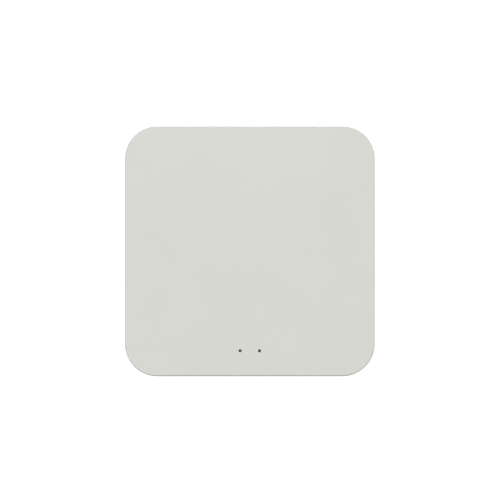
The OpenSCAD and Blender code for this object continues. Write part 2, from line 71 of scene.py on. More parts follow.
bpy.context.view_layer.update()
cover_low, cover_high = box_mm("top_cover")
base_low, base_high = box_mm("bottom_case")
panel_low, panel_high = box_mm("port_panel")
board_low, board_high = box_mm("main_board")
_, feet_high = box_mm("rubber_feet")
label_low, label_high = box_mm("rating_label")
guide_low, guide_high = box_mm("light_guide")
lights_low, lights_high = box_mm("status_leds")
button_low, button_high = box_mm("reset_button")
dome_low, dome_high = box_mm("reset_switch_dome")
shield_low, shield_high = box_mm("ethernet_shield")
housing_low, housing_high = box_mm("ethernet_housing")
usb_low, usb_high = box_mm("usb_shell")
_, tongue_high = box_mm("usb_tongue")

# Case
HALF = cover_high.x
CORNER_R = 12.2
WALL = 2.0
TOP = cover_high.z
ROOF = TOP - 2.0
SEAM = cover_low.z
FOOT_H = base_low.z
FLOOR = FOOT_H + 2.0
LIP_TOP = base_high.z
LIP_IN = WALL / 2 + 0.05
GROOVE = 0.3
TOP_EDGE_R = 0.5
BOTTOM_EDGE_R = 2.0
BOARD_Z = board_low.z
BOARD_TOP = board_high.z
CORNER_FIX = HALF - 10.0
CORNERS = [(sx * CORNER_FIX, sy * CORNER_FIX) for sx in (-1, 1) for sy in (-1, 1)]
FOOT_R = 4.5
CASE_SCREW_R = 1.2
CASE_SCREW_SEAT = FOOT_H + 2.6
BOARD_SCREW_R = 0.8
BOARD_SCREWS = ((-32.0, -20.0), (16.0, 16.0))
COVER_RIBS_Y = (-22.0, 0.0, 22.0)
FLOOR_RIBS_X = (-36.0, 36.0)
KEYHOLES_X = (-25.0, 25.0)
KEYHOLE_Y = 22.0
KEYHOLE_RUN = 9.0
KEYHOLE_R = 4.0
KEYHOLE_SLOT_R = 2.3
VENTS_X = [3.2 * i for i in range(-3, 4)]
VENT_Y = 20.0
VENT_SIZE = (1.6, 16.0)

# Port panel
PLATE_HALF = 24.0
PLATE_TOP = ROOF - 1.0
PANEL_STEP = HALF - WALL - 0.1

# Network socket
NET_X = middle_of(shield_low, shield_high).x
NET_W = shield_high.x - shield_low.x
NET_H = shield_high.z - BOARD_TOP
NET_FACE = shield_high.y
SHEET = 0.3
CAVITY_TOP = BOARD_TOP + 10.7
CAVITY_BACK = NET_FACE - 12.6
CAVITY_STEPS = ((5.95, BOARD_TOP + 4.1), (3.2, BOARD_TOP + 2.6), (1.9, BOARD_TOP + 1.4))
NET_PEG_X = 5.0
NET_PEG_Y = NET_FACE - 9.0
NET_LEG_Y = NET_FACE - 8.0
NET_CONTACTS_X = [NET_X + 1.02 * (i - 3.5) for i in range(8)]
NET_TAILS_Y = (shield_low.y + 1.6, shield_low.y + 4.1)
TAIL_Z = BOARD_Z - 1.3

# Power socket
USB_X = middle_of(usb_low, usb_high).x
USB_W = usb_high.x - usb_low.x
USB_H = 3.26
USB_Z = BOARD_TOP + USB_H / 2
USB_WALL = 0.3
USB_BACK = usb_low.y
USB_FACE = usb_high.y
USB_LEGS_Y = (USB_BACK + 1.0, USB_BACK + 3.4)

# Reset button
RESET_X = middle_of(button_low, button_high).x
RESET_Z = middle_of(button_low, button_high).z
RESET_R = 2.0
DOME_SHEET = 0.15

# Lights
LIGHT_Y = middle_of(lights_low, lights_high).y
LIGHT_X = (lights_high.x - lights_low.x - 1.6) / 2
LIGHT_HOLE_R = 0.575
GUIDE_BAR_Z = ROOF - 4.5
GUIDE_PEG_X = guide_high.x - 2.0

TO_BACK = Matrix.Rotation(math.radians(-90), 4, "X")


# ---- Mesh toolkit: a shape is a list of loops of points, closed by a skin drawn over them ----


def rounded_rect(width, depth, radius, steps=ARC_STEPS):
    points = []
    for corner in range(4):
        sx = 1 if corner in (0, 3) else -1
        sy = 1 if corner < 2 else -1
        for i in range(steps + 1):
            turn = math.radians(90 * (corner + i / steps))
            points.append((
                sx * (width / 2 - radius) + radius * math.cos(turn),
                sy * (depth / 2 - radius) + radius * math.sin(turn),
            ))
    return points


def circle(radius, steps=CIRCLE_STEPS):
    return [
        (radius * math.cos(math.tau * i / steps), radius * math.sin(math.tau * i / steps))
        for i in range(steps)
    ]


def arc(middle, radius, start, end, steps=6):
    """Points of an arc in a profile's plane, angles in degrees."""
    turns = [math.radians(start + (end - start) * i / steps) for i in range(steps + 1)]
    return [(middle[0] + radius * math.cos(t), middle[1] + radius * math.sin(t)) for t in turns]


def lifted(outline, z):
    return [(x, y, z) for x, y in outline]


def turned(profile, at=(0, 0), steps=CIRCLE_STEPS):
    """Loops of a turned shape on an upright axis. The profile is a list of (radius, height)."""
    return [[(x + at[0], y + at[1], z) for x, y in circle(max(r, 0.01), steps)] for r, z in profile]


def bar(width, depth, radius, levels, at=(0, 0), steps=6):
    """Loops of an upright bar with rounded corners. A level is (how much wider all round, height)."""
    return [
        [
            (x + at[0], y + at[1], z)
            for x, y in rounded_rect(width + 2 * grow, depth + 2 * grow, max(radius + grow, 0.02), steps)
        ]
        for grow, z in levels
    ]


def bar_over(low, high, radius, levels, steps=6):
    """Loops of an upright bar on a box's footprint."""
    width, depth = (high - low).xy
    return bar(width, depth, radius, levels, middle_of(low, high).xy, steps)


def eased_levels(low, high, edge):
    return [(-edge, low), (-0.3 * edge, low + 0.3 * edge), (0, low + edge),
            (0, high - edge), (-0.3 * edge, high - 0.3 * edge), (-edge, high)]


def eased_mouth(low, high, ease):
    """Levels of a cutter that opens out by ease where it breaks through a face at height high."""
    return [(0, low), (0, high - ease), (0.3 * ease, high - 0.3 * ease), (ease, high), (ease, high + 1)]


def block(low, high, edge=0.0):
    """Loops of a rectangular block, with all its edges eased by edge."""
    at = ((low[0] + high[0]) / 2, (low[1] + high[1]) / 2)
    levels = eased_levels(low[2], high[2], edge) if edge else [(0, low[2]), (0, high[2])]
    steps = 3 if edge else 1
    return bar(high[0] - low[0], high[1] - low[1], max(edge, 0.001), levels, at, steps)


def case_ring(profile):
    """Loops that carry a profile round the case. A point is (distance in from the side, height)."""
    return [
        lifted(rounded_rect(2 * (HALF - inset), 2 * (HALF - inset), max(CORNER_R - inset, 0.3)), z)
        for inset, z in profile
    ]


def moved(loops, place):
    return [[tuple(place @ Vector(p)) for p in loop] for loop in loops]


def to_back(loops, x=0.0, z=0.0):
    """Turns upright loops to lie along +Y, with their axis at (x, z)."""
    return moved(loops, Matrix.Translation((x, 0, z)) @ TO_BACK)


def strip(path, thickness, width, place):
    """Loops of a flat strip along a path of (along, up). place turns (across, along, up) into a point."""
    ease = 0.2 * min(thickness, width)
    corner = [(width / 2, thickness / 2 - ease), (width / 2 - ease, thickness / 2)]
    section = corner + [(-x, z) for x, z in reversed(corner)]
    section += [(-x, -z) for x, z in section]
    loops = []
    for i, (along, up) in enumerate(path):
        direction = (Vector(path[min(i + 1, len(path) - 1)]) - Vector(path[max(i - 1, 0)])).normalized()
        loops.append([place(x, along - direction.y * z, up + direction.x * z) for x, z in section])
    return loops


def bent(points, radius, steps=5):
    """A path through points with its inner corners rounded."""
    path = [points[0]]
    for before, corner, after in zip(points, points[1:], points[2:]):
        corner = Vector(corner)
        back, ahead = Vector(before) - corner, Vector(after) - corner
        reach = min(radius, 0.45 * back.length, 0.45 * ahead.length)
        start = corner + back.normalized() * reach
        end = corner + ahead.normalized() * reach
        for i in range(steps + 1):
            t = i / steps
            path.append(tuple((1 - t) ** 2 * start + 2 * t * (1 - t) * corner + t ** 2 * end))
    return path + [points[-1]]


def threaded(radius, start, length, pitch, steps=32):
    """Loops of a screw's shank: a sharp ridge that winds round a core and fades into a point."""
    rows = round((length - start) / (pitch / 6))
    loops = []
    for i in range(rows + 1):
        z = start + (length - start) * i / rows
        taper = min(1, (length - z) / (1.6 * radius) + 0.12)
        loop = []
        for k in range(steps):
            ridge = 1 - abs(2 * ((z / pitch - k / steps) % 1) - 1)
            loop.append((*circle(radius * taper * (0.74 + 0.26 * max(0, 2 * ridge - 1)), steps)[k], z))
        loops.append(loop)
    return loops


def fill(mesh, loops, bands=None):
    """Draws a closed skin over loops. bands gives each gap between loops its material."""
    rows = [[mesh.verts.new(Vector(p) * MM) for p in loop] for loop in loops]
    bands = bands or [0] * (len(rows) - 1)
    count = len(rows[0])
    for near, far, band in zip(rows, rows[1:], bands):
        for i in range(count):
            j = (i + 1) % count
            mesh.faces.new((near[i], near[j], far[j], far[i])).material_index = band
    mesh.faces.new(list(reversed(rows[0]))).material_index = bands[0]
    mesh.faces.new(rows[-1]).material_index = bands[-1]


def skin(*shapes, bands=None):
    mesh = bmesh.new()
    for loops in shapes:
        fill(mesh, loops, bands)
    bmesh.ops.remove_doubles(mesh, verts=mesh.verts, dist=1e-7)
    bmesh.ops.dissolve_degenerate(mesh, edges=mesh.edges, dist=1e-8)
    bmesh.ops.recalc_face_normals(mesh, faces=mesh.faces)
    data = bpy.data.meshes.new("skin")
    mesh.to_mesh(data)
    mesh.free()
    return data


def new_object(name, data, *materials):
    for material in materials:
        data.materials.append(material)
    piece = bpy.data.objects.new(name, data)
    bpy.context.scene.collection.objects.link(piece)
    return piece


def bake(piece):
    """Applies a piece's modifiers to its mesh."""
    bpy.context.view_layer.update()
    graph = bpy.context.evaluated_depsgraph_get()
    done = bpy.data.meshes.new_from_object(piece.evaluated_get(graph))
    piece.modifiers.clear()
    piece.data = done


def combine(piece, operation, *shapes):
    tool = new_object("tool", skin(*shapes))
    step = piece.modifiers.new("combine", "BOOLEAN")
    step.operation = operation
    step.solver = "EXACT"
    step.object = tool
    bake(piece)
    bpy.data.objects.remove(tool)


def add(piece, *shapes):
    combine(piece, "UNION", *shapes)


def cut(piece, *shapes):
    combine(piece, "DIFFERENCE", *shapes)


def join_parts(piece, data):
    """Adds another mesh's skins to piece, in piece's second material."""
    mesh = bmesh.new()
    mesh.from_mesh(piece.data)
    first = len(mesh.faces)
    mesh.from_mesh(data)
    mesh.faces.ensure_lookup_table()
    for face in mesh.faces[first:]:
        face.material_index = 1
    mesh.to_mesh(piece.data)
    mesh.free()


def shade(piece):
    """Smooth over fillets, sharp at true edges, and flat faces kept flat."""
    piece.data.polygons.foreach_set("use_smooth", [True] * len(piece.data.polygons))
    piece.data.set_sharp_from_angle(angle=SMOOTH_ANGLE)
    piece.modifiers.new("weighted", "WEIGHTED_NORMAL").keep_sharp = True


def tidy_mesh(piece):
    mesh = bmesh.new()
    mesh.from_mesh(piece.data)
    bmesh.ops.remove_doubles(mesh, verts=mesh.verts, dist=2e-7)
    bmesh.ops.dissolve_degenerate(mesh, edges=mesh.edges, dist=1e-7)
    mesh.to_mesh(piece.data)
    mesh.free()


def finish_piece(piece, node, body="hub"):
    """Tidies a new piece's mesh and gives it its shading and body, in place of a CAD node."""
    tidy_mesh(piece)
    shade(piece)
    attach(piece, body)
    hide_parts(node)


def paint(piece, material):
    for place in piece.material_slots:
        place.material = material


def weld(piece):
    piece.modifiers.new("weld", "WELD").merge_threshold = 1e-7


def dress(node, material, edge):
    """Keeps a CAD node's own shape, with its edges eased, in a finished material."""
    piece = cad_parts[node]
    weld(piece)
    bevel = piece.modifiers.new("ease", "BEVEL")
    bevel.width = edge * MM
    bevel.segments = 2
    bevel.limit_method = "ANGLE"
    bevel.angle_limit = SMOOTH_ANGLE
    piece.modifiers.new("weighted", "WEIGHTED_NORMAL").keep_sharp = True
    paint(piece, material)


def solids_of(node):
    """Lowest and highest corner, in millimetres, of each separate solid of a CAD node."""
    mesh = bmesh.new()
    mesh.from_mesh(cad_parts[node].data)
    bmesh.ops.remove_doubles(mesh, verts=mesh.verts, dist=1e-7)
    left = set(mesh.verts)
    found = []
    while left:
        solid = [left.pop()]
        for vert in solid:
            near = {edge.other_vert(vert) for edge in vert.link_edges} & left
            left -= near
            solid.extend(near)
        low = Vector([min(v.co[k] for v in solid) for k in range(3)]) / MM
        high = Vector([max(v.co[k] for v in solid) for k in range(3)]) / MM
        found.append((low, high))
    mesh.free()
    return sorted(found, key=lambda corners: tuple(round(c, 3) for c in corners[0]))


# ---- Materials ----


def tint(colour, share):
    return tuple(c * share for c in colour)


class Shader:
    """A Principled material, with short calls for the nodes that feed it."""

    def __init__(self, name, **values):
        self.material = bpy.data.materials.new(name)
        self.material.use_nodes = True
        self.tree = self.material.node_tree
        self.principled = next(n for n in self.tree.nodes if n.type == "BSDF_PRINCIPLED")
        for key, value in values.items():
            self.principled.inputs[key.replace("_", " ")].default_value = value
        self.place = self.tree.nodes.new("ShaderNodeTexCoord").outputs["Object"]

    def put(self, socket, value):
        if isinstance(value, bpy.types.NodeSocket):
            self.tree.links.new(value, socket)
        elif socket.type == "RGBA":
            socket.default_value = (*value, 1)
        else:
            socket.default_value = value

    def node(self, kind, **inputs):
        made = self.tree.nodes.new(kind)
        for key, value in inputs.items():
            self.put(made.inputs[key.replace("_", " ")], value)
        return made

    def set(self, key, value):
        self.put(self.principled.inputs[key], value)

    def noise(self, size_mm, detail=2.0, roughness=0.5, stretch=(1, 1, 1)):
        """Noise whose features are about size_mm across."""
        scaled = self.node("ShaderNodeMapping", Vector=self.place, Scale=stretch)
        made = self.node(
            "ShaderNodeTexNoise", Vector=scaled.outputs["Vector"], Scale=1 / (size_mm * MM), Detail=detail,
            Roughness=roughness,
        )
        return made.outputs["Fac"]

    def cells(self, size_mm):
        """Distance from the middle of scattered cells of about size_mm."""
        made = self.node("ShaderNodeTexVoronoi", Vector=self.place, Scale=1 / (size_mm * MM))
        return made.outputs["Distance"]

    def spread(self, value, low, high):
        """Carries 0 to 1 onto low to high."""
        return self.node("ShaderNodeMapRange", Value=value, To_Min=low, To_Max=high).outputs["Result"]

    def ramp(self, value, *stops):
        """Colours along a value. A stop is (place, colour)."""
        made = self.node("ShaderNodeValToRGB", Fac=value)
        bands = made.color_ramp.elements
        while len(bands) < len(stops):
            bands.new(0.5)
        for band, (place, colour) in zip(bands, stops):
            band.position = place
            band.color = (*colour, 1)
        return made.outputs["Color"]

    def mix(self, share, one, two):
        made = self.tree.nodes.new("ShaderNodeMix")
        made.data_type = "RGBA"
        self.put(made.inputs[0], share)
        self.put(made.inputs[6], one)
        self.put(made.inputs[7], two)
        return made.outputs[2]

    def math(self, operation, one, two=0.0):
        made = self.tree.nodes.new("ShaderNodeMath")
        made.operation = operation
        self.put(made.inputs[0], one)
        self.put(made.inputs[1], two)
        return made.outputs["Value"]

    def blend(self, one, two, share=0.5):
        return self.math("ADD", self.math("MULTIPLY", one, 1 - share), self.math("MULTIPLY", two, share))

    def either(self, one, two):
        return self.math("MAXIMUM", one, two)

    def both(self, one, two):
        return self.math("MULTIPLY", one, two)

    def part(self, vector, letter):
        return self.node("ShaderNodeSeparateXYZ", Vector=vector).outputs[letter]

    def axis(self, letter):
        """Position along an axis of the frame, in millimetres."""
        return self.math("MULTIPLY", self.part(self.place, letter), 1 / MM)

    def facing_up(self):
        normal = self.tree.nodes.new("ShaderNodeNewGeometry").outputs["Normal"]
        return self.part(normal, "Z")

    def within(self, letter, low, high):
        """1 between two places along an axis, in millimetres, and 0 elsewhere."""
        place = self.axis(letter)
        return self.both(self.math("GREATER_THAN", place, low), self.math("LESS_THAN", place, high))

    def stripes(self, letter, pitch, share, start=0.0):
        """1 on stripes that take up a share of each pitch, in millimetres, along an axis."""
        turn = self.math("DIVIDE", self.math("SUBTRACT", self.axis(letter), start), pitch)
        return self.math("LESS_THAN", self.math("FRACT", turn), share)

    def box_line(self, low, high, line):
        """1 on a rectangular line just outside a box, seen from above, as printed round a component."""
        past = []
        for letter, centre, half in (
            ("X", middle_of(low, high).x, (high.x - low.x) / 2),
            ("Y", middle_of(low, high).y, (high.y - low.y) / 2),
        ):
            away = self.math("ABSOLUTE", self.math("SUBTRACT", self.axis(letter), centre))
            past.append(self.math("SUBTRACT", away, half))
        far = self.math("MAXIMUM", *past)
        return self.both(self.math("GREATER_THAN", far, 2 * line), self.math("LESS_THAN", far, 3 * line))

    def bump(self, height, depth_mm, strength=1.0):
        made = self.node("ShaderNodeBump", Height=height, Distance=depth_mm * MM, Strength=strength)
        self.set("Normal", made.outputs["Normal"])

    def tone(self, value, colour, darker, lighter):
        """Base colour along a value. darker and lighter are each (place, share of the colour)."""
        stops = [(place, tint(colour, share)) for place, share in (darker, lighter)]
        self.set("Base Color", self.ramp(value, *stops))

    def gloss(self, value, low, high):
        """Roughness along a value."""
        self.set("Roughness", self.spread(value, low, high))


def moulded_plastic(name, colour, roughness, grain_mm=0.35, depth_mm=0.006):
    """Spark-eroded mould texture: fine even grain, and a faint slow drift of tone and gloss."""
    shader = Shader(name, IOR=1.46)
    speck = shader.noise(grain_mm * 1.4, detail=1)
    drift = shader.blend(shader.noise(28, detail=3), speck, 0.3)
    shader.tone(drift, colour, (0.3, 0.985), (0.7, 1.015))
    rubbed = shader.blend(shader.noise(9, detail=4), speck, 0.3)
    shader.gloss(rubbed, roughness - 0.07, roughness + 0.07)
    grain = shader.blend(shader.noise(grain_mm, detail=3, roughness=0.6), shader.cells(grain_mm * 1.6))
    shader.bump(grain, depth_mm, 0.4)
    return shader.material


def soft_rubber(name, colour):
    shader = Shader(name, IOR=1.5, Sheen_Weight=0.15, Sheen_Roughness=0.6)
    dust = shader.noise(1.6, detail=4)
    shader.tone(dust, colour, (0.35, 0.85), (0.75, 1.3))
    shader.gloss(dust, 0.72, 0.9)
    shader.bump(shader.noise(0.25, detail=3), 0.01, 0.5)
    return shader.material


def printed_film(name, colour):
    shader = Shader(name, IOR=1.5, Coat_Weight=0.2, Coat_Roughness=0.25)
    fibre = shader.noise(0.6, detail=4, stretch=(1, 0.35, 1))
    shader.tone(fibre, colour, (0.3, 0.95), (0.7, 1))
    shader.gloss(fibre, 0.34, 0.46)
    shader.bump(shader.noise(2.5, detail=2), 0.01, 0.25)
    return shader.material


def sheet_metal(name, colour, roughness, line_mm=0.12, stretch=(0.05, 1, 1)):
    """Rolled or plated metal: long faint rolling lines, cloudy plating and a few duller patches."""
    shader = Shader(name, Metallic=1.0, Anisotropic=0.3)
    lines = shader.noise(line_mm, detail=2, stretch=stretch)
    cloud = shader.noise(3.5, detail=4)
    shader.tone(cloud, colour, (0.3, 0.86), (0.7, 1))
    shader.gloss(shader.blend(lines, cloud), roughness - 0.08, roughness + 0.14)
    shader.bump(lines, 0.002, 0.4)
    return shader.material


def clear_with_painted_shade(name, colour):
    """Clear moulded plastic with a near-black base colour, painted shade that makes it read dark where no
    light comes up through it.
    """
    shader = Shader(name, IOR=1.49, Transmission_Weight=0.35)
    haze = shader.noise(0.8, detail=3)
    shader.tone(haze, colour, (0.3, 0.9), (0.7, 1.1))
    shader.gloss(haze, 0.28, 0.4)
    shader.bump(haze, 0.004, 0.3)
    return shader.material


def chip_mould(name, colour):
    """Filled epoxy of a chip's package: near black, dull, with fine bright filler grains."""
    shader = Shader(name, IOR=1.55)
    filler = shader.noise(0.12, detail=3, roughness=0.7)
    shader.tone(filler, colour, (0.45, 1), (0.8, 2.2))
    shader.gloss(shader.blend(filler, shader.noise(3)), 0.5, 0.72)
    shader.bump(filler, 0.006, 0.5)
    return shader.material


def fired_ceramic(name, colour, roughness=0.35):
    shader = Shader(name, IOR=1.7)
    grain = shader.noise(0.2, detail=4)
    shader.tone(grain, colour, (0.3, 0.85), (0.75, 1.1))
    shader.gloss(grain, roughness, roughness + 0.15)
    shader.bump(grain, 0.006, 0.4)
    return shader.material


def ferrite_block(name):
    """Pressed ferrite powder, with a tinned end wrapped up each short side."""
    low, high = box_mm("power_inductor")
    shader = Shader(name, IOR=1.8)
    powder = shader.noise(0.18, detail=4, roughness=0.7)
    left_end = shader.within("X", low.x - 1, low.x + 0.25)
    right_end = shader.within("X", high.x - 0.25, high.x + 1)
    ends = shader.both(shader.either(left_end, right_end), shader.within("Z", low.z - 1, low.z + 1.1))
    dark = shader.ramp(powder, (0.35, (0.035, 0.035, 0.037)), (0.75, (0.1, 0.1, 0.1)))
    shader.set("Base Color", shader.mix(ends, dark, (0.62, 0.62, 0.6)))
    shader.set("Metallic", ends)
    shader.gloss(powder, 0.45, 0.75)
    shader.bump(powder, 0.01, 0.6)
    return shader.material


def silicone(name, colour):
    shader = Shader(name, IOR=1.43)
    flecks = shader.noise(0.3, detail=3)
    shader.tone(flecks, colour, (0.35, 0.85), (0.7, 1.1))
    shader.gloss(flecks, 0.55, 0.75)
    shader.bump(shader.noise(0.9, detail=3), 0.02, 0.5)
    return shader.material


def circuit_laminate(name, mask, traces, outlined=(), pads_on=None):
    """Printed circuit: solder mask over copper traces, tinned vias with painted shade in their holes, and
    bare glass-fibre edges.

    outlined names the nodes that get a printed outline. pads_on is a box whose long edges carry gold pads.
    """
    shader = Shader(name, IOR=1.5, Coat_Weight=0.3, Coat_Roughness=0.2)
    regions = shader.node("ShaderNodeTexVoronoi", Vector=shader.place, Scale=1 / (9 * MM))
    regions.distance = "CHEBYCHEV"
    region = shader.node("ShaderNodeSeparateColor", Color=regions.outputs["Color"]).outputs["Red"]
    across = shader.both(shader.math("LESS_THAN", region, 0.3), shader.stripes("Y", 0.55, 0.5))
    down = shader.both(shader.math("GREATER_THAN", region, 0.72), shader.stripes("X", 0.55, 0.5))
    copper = shader.either(across, down)
    up = shader.facing_up()
    upper = shader.math("GREATER_THAN", up, 0.7)
    flat = shader.math("GREATER_THAN", shader.math("ABSOLUTE", up), 0.7)
    vias = shader.cells(2.6)
    ring = shader.both(shader.math("LESS_THAN", vias, 0.09), flat)
    mottle = shader.noise(0.35, detail=3)
    bare = shader.ramp(mottle, (0.3, tint(mask, 0.85)), (0.7, tint(mask, 1.15)))
    over_copper = shader.ramp(mottle, (0.3, tint(traces, 0.9)), (0.7, tint(traces, 1.1)))
    colour = shader.mix(copper, bare, over_copper)
    colour = shader.mix(ring, colour, (0.6, 0.6, 0.56))
    # Painted shade: the via holes are near-black dots in the colour.
    colour = shader.mix(shader.math("LESS_THAN", vias, 0.045), colour, (0.01, 0.012, 0.01))
    for node in outlined:
        line = shader.both(shader.box_line(*box_mm(node), 0.16), upper)
        colour = shader.mix(line, colour, (0.8, 0.8, 0.78))
    metal = ring
    if pads_on:
        low, high = pads_on
        left_edge = shader.within("X", low.x - 1, low.x + 0.9)
        right_edge = shader.within("X", high.x - 0.9, high.x + 1)
        pads = shader.both(shader.either(left_edge, right_edge), shader.stripes("Y", 1.27, 0.6, low.y))
        colour = shader.mix(pads, colour, (0.83, 0.62, 0.28))
        metal = shader.either(metal, shader.both(pads, flat))
    fibre = shader.noise(0.2, detail=3, stretch=(1, 1, 4))
    edge_colour = shader.ramp(fibre, (0.3, (0.25, 0.21, 0.1)), (0.7, (0.42, 0.36, 0.2)))
    shader.set("Base Color", shader.mix(flat, edge_colour, colour))
    shader.set("Metallic", metal)
    shader.gloss(mottle, 0.3, 0.45)
    shader.bump(shader.blend(copper, mottle, 0.2), 0.03, 0.5)
    return shader.material


def antenna_foil(name):
    """Flexible antenna: a toothed copper pattern under a matt black cover film."""
    low, high = box_mm("wireless_antenna")
    shader = Shader(name, IOR=1.5, Coat_Weight=0.25, Coat_Roughness=0.3)
    rails = shader.either(
        shader.within("Z", high.z - 2.0, high.z - 1.2), shader.within("Z", low.z + 1.2, low.z + 1.9)
    )
    teeth = shader.both(shader.stripes("Y", 4.0, 0.3), shader.within("Z", low.z + 1.2, high.z - 1.2))
    pattern = shader.either(rails, teeth)
    speck = shader.noise(0.3, detail=3)
    film = shader.ramp(speck, (0.3, (0.016, 0.016, 0.017)), (0.7, (0.028, 0.028, 0.03)))
    copper = shader.ramp(speck, (0.3, (0.06, 0.045, 0.035)), (0.7, (0.09, 0.07, 0.055)))
    shader.set("Base Color", shader.mix(pattern, film, copper))
    shader.gloss(speck, 0.38, 0.55)
    shader.bump(shader.blend(pattern, speck, 0.2), 0.02, 0.5)
    return shader.material


def gel_phosphor(name):
    shader = Shader(name, IOR=1.45, Coat_Weight=0.5, Coat_Roughness=0.08)
    grain = shader.noise(0.08, detail=2)
    shader.set("Base Color", shader.ramp(grain, (0.3, (0.62, 0.5, 0.08)), (0.7, (0.78, 0.66, 0.16))))
    shader.gloss(grain, 0.2, 0.35)
    return shader.material


shell_plastic = moulded_plastic("shell_plastic", (0.69, 0.694, 0.65), 0.6)
panel_plastic = moulded_plastic("panel_plastic", (0.34, 0.342, 0.325), 0.58, grain_mm=0.3)
black_plastic = moulded_plastic("black_plastic", (0.03, 0.03, 0.032), 0.45, grain_mm=0.2, depth_mm=0.004)
foot_rubber = soft_rubber("foot_rubber", (0.075, 0.075, 0.073))
label_film = printed_film("label_film", (0.72, 0.72, 0.7))
tinned_steel = sheet_metal("tinned_steel", (0.58, 0.58, 0.565), 0.36)
zinc_steel = sheet_metal("zinc_steel", (0.6, 0.61, 0.63), 0.26, line_mm=0.08, stretch=(1, 1, 0.2))
dome_steel = sheet_metal("dome_steel", (0.7, 0.7, 0.69), 0.16)
contact_gold = sheet_metal("contact_gold", (0.9, 0.66, 0.27), 0.38)
can_aluminium = sheet_metal("can_aluminium", (0.72, 0.73, 0.74), 0.28, stretch=(1, 1, 0.05))
# The light guide's near-black colour is painted shade for the dark light holes.
guide_painted_shade = clear_with_painted_shade("guide_painted_shade", (0.055, 0.057, 0.05))
chip_epoxy = chip_mould("chip_epoxy", (0.016, 0.016, 0.017))
package_green = chip_mould("package_green", (0.02, 0.06, 0.035))
capacitor_ceramic = fired_ceramic("capacitor_ceramic", (0.34, 0.2, 0.1))
white_ceramic = fired_ceramic("white_ceramic", (0.7, 0.69, 0.64))
resistor_glaze = fired_ceramic("resistor_glaze", (0.02, 0.02, 0.024), 0.2)
thermal_silicone = silicone("thermal_silicone", (0.3, 0.38, 0.5))
jacket_black = moulded_plastic("jacket_black", (0.03, 0.03, 0.032), 0.32, grain_mm=0.15, depth_mm=0.002)
led_phosphor = gel_phosphor("led_phosphor")


# ---- Case pieces ----


def build_cover():
    """Cover: roof, walls with a rounded upper edge, and the lip that drops over the lower case."""
    profile = [(WALL + 0.5, ROOF), (WALL + 0.15, ROOF - 0.15), (WALL, ROOF - 0.5), (WALL, LIP_TOP + 0.1),
               (LIP_IN - 0.1, LIP_TOP + 0.1), (LIP_IN - 0.1, SEAM), (GROOVE + 0.05, SEAM),
               (GROOVE, SEAM + 0.05), (GROOVE, SEAM + GROOVE), (0.06, SEAM + GROOVE),
               (0, SEAM + GROOVE + 0.06)]
    profile += arc((TOP_EDGE_R, TOP - TOP_EDGE_R), TOP_EDGE_R, 180, 90, steps=10)
    cover = new_object("cover_shell", skin(case_ring(profile)), shell_plastic)
    add_cover_posts(cover)
    ribs = [block((-30, y - 0.5, ROOF - 0.8), (30, y + 0.5, ROOF + 0.5)) for y in COVER_RIBS_Y]
    for side in (-1, 1):
        x = side * (panel_high.x + 0.9)
        ribs.append(block((x - 0.6, panel_low.y + 0.1, BOARD_TOP), (x + 0.6, HALF - WALL + 0.3, ROOF + 0.5)))
    add(cover, *ribs)
    screw_bore = [(CASE_SCREW_R + 0.05, BOARD_TOP - 1), (CASE_SCREW_R + 0.05, BOARD_TOP + 10)]
    cut(cover, *[turned(screw_bore, at) for at in CORNERS])
    light_hole = [(LIGHT_HOLE_R + grow, z) for grow, z in eased_mouth(ROOF - 1, TOP, 0.04)]
    cut(cover, *[turned(light_hole, (x, LIGHT_Y)) for x in (-LIGHT_X, LIGHT_X)])
    low, high = SEAM - 1, PLATE_TOP + 0.1
    mouth = bar(2 * PLATE_HALF + 0.3, high - low, 0.5, eased_mouth(PANEL_STEP, HALF, 0.15))
    cut(cover, to_back(mouth, 0, (low + high) / 2))
    finish_piece(cover, "top_cover")


def add_cover_posts(cover):
    """Screw bosses with four fins each, and the stops and pegs that hold the light guide."""
    boss = [(2.9, BOARD_TOP), (3.2, BOARD_TOP + 0.3), (3.2, ROOF + 0.5)]
    add(cover, *[turned(boss, at) for at in CORNERS])
    for reach_x, reach_y in ((5, 0.5), (0.5, 5)):
        add(cover, *[
            block((x - reach_x, y - reach_y, ROOF - 5), (x + reach_x, y + reach_y, ROOF + 0.5))
            for x, y in CORNERS
        ])
    stop = GUIDE_BAR_Z + 1.4
    tip = GUIDE_BAR_Z - 0.6
    peg = [(0.7, tip), (0.9, tip + 0.2), (0.9, stop), (1.8, stop), (1.8, ROOF + 0.5)]
    add(cover, *[turned(peg, (x, LIGHT_Y)) for x in (-GUIDE_PEG_X, GUIDE_PEG_X)])


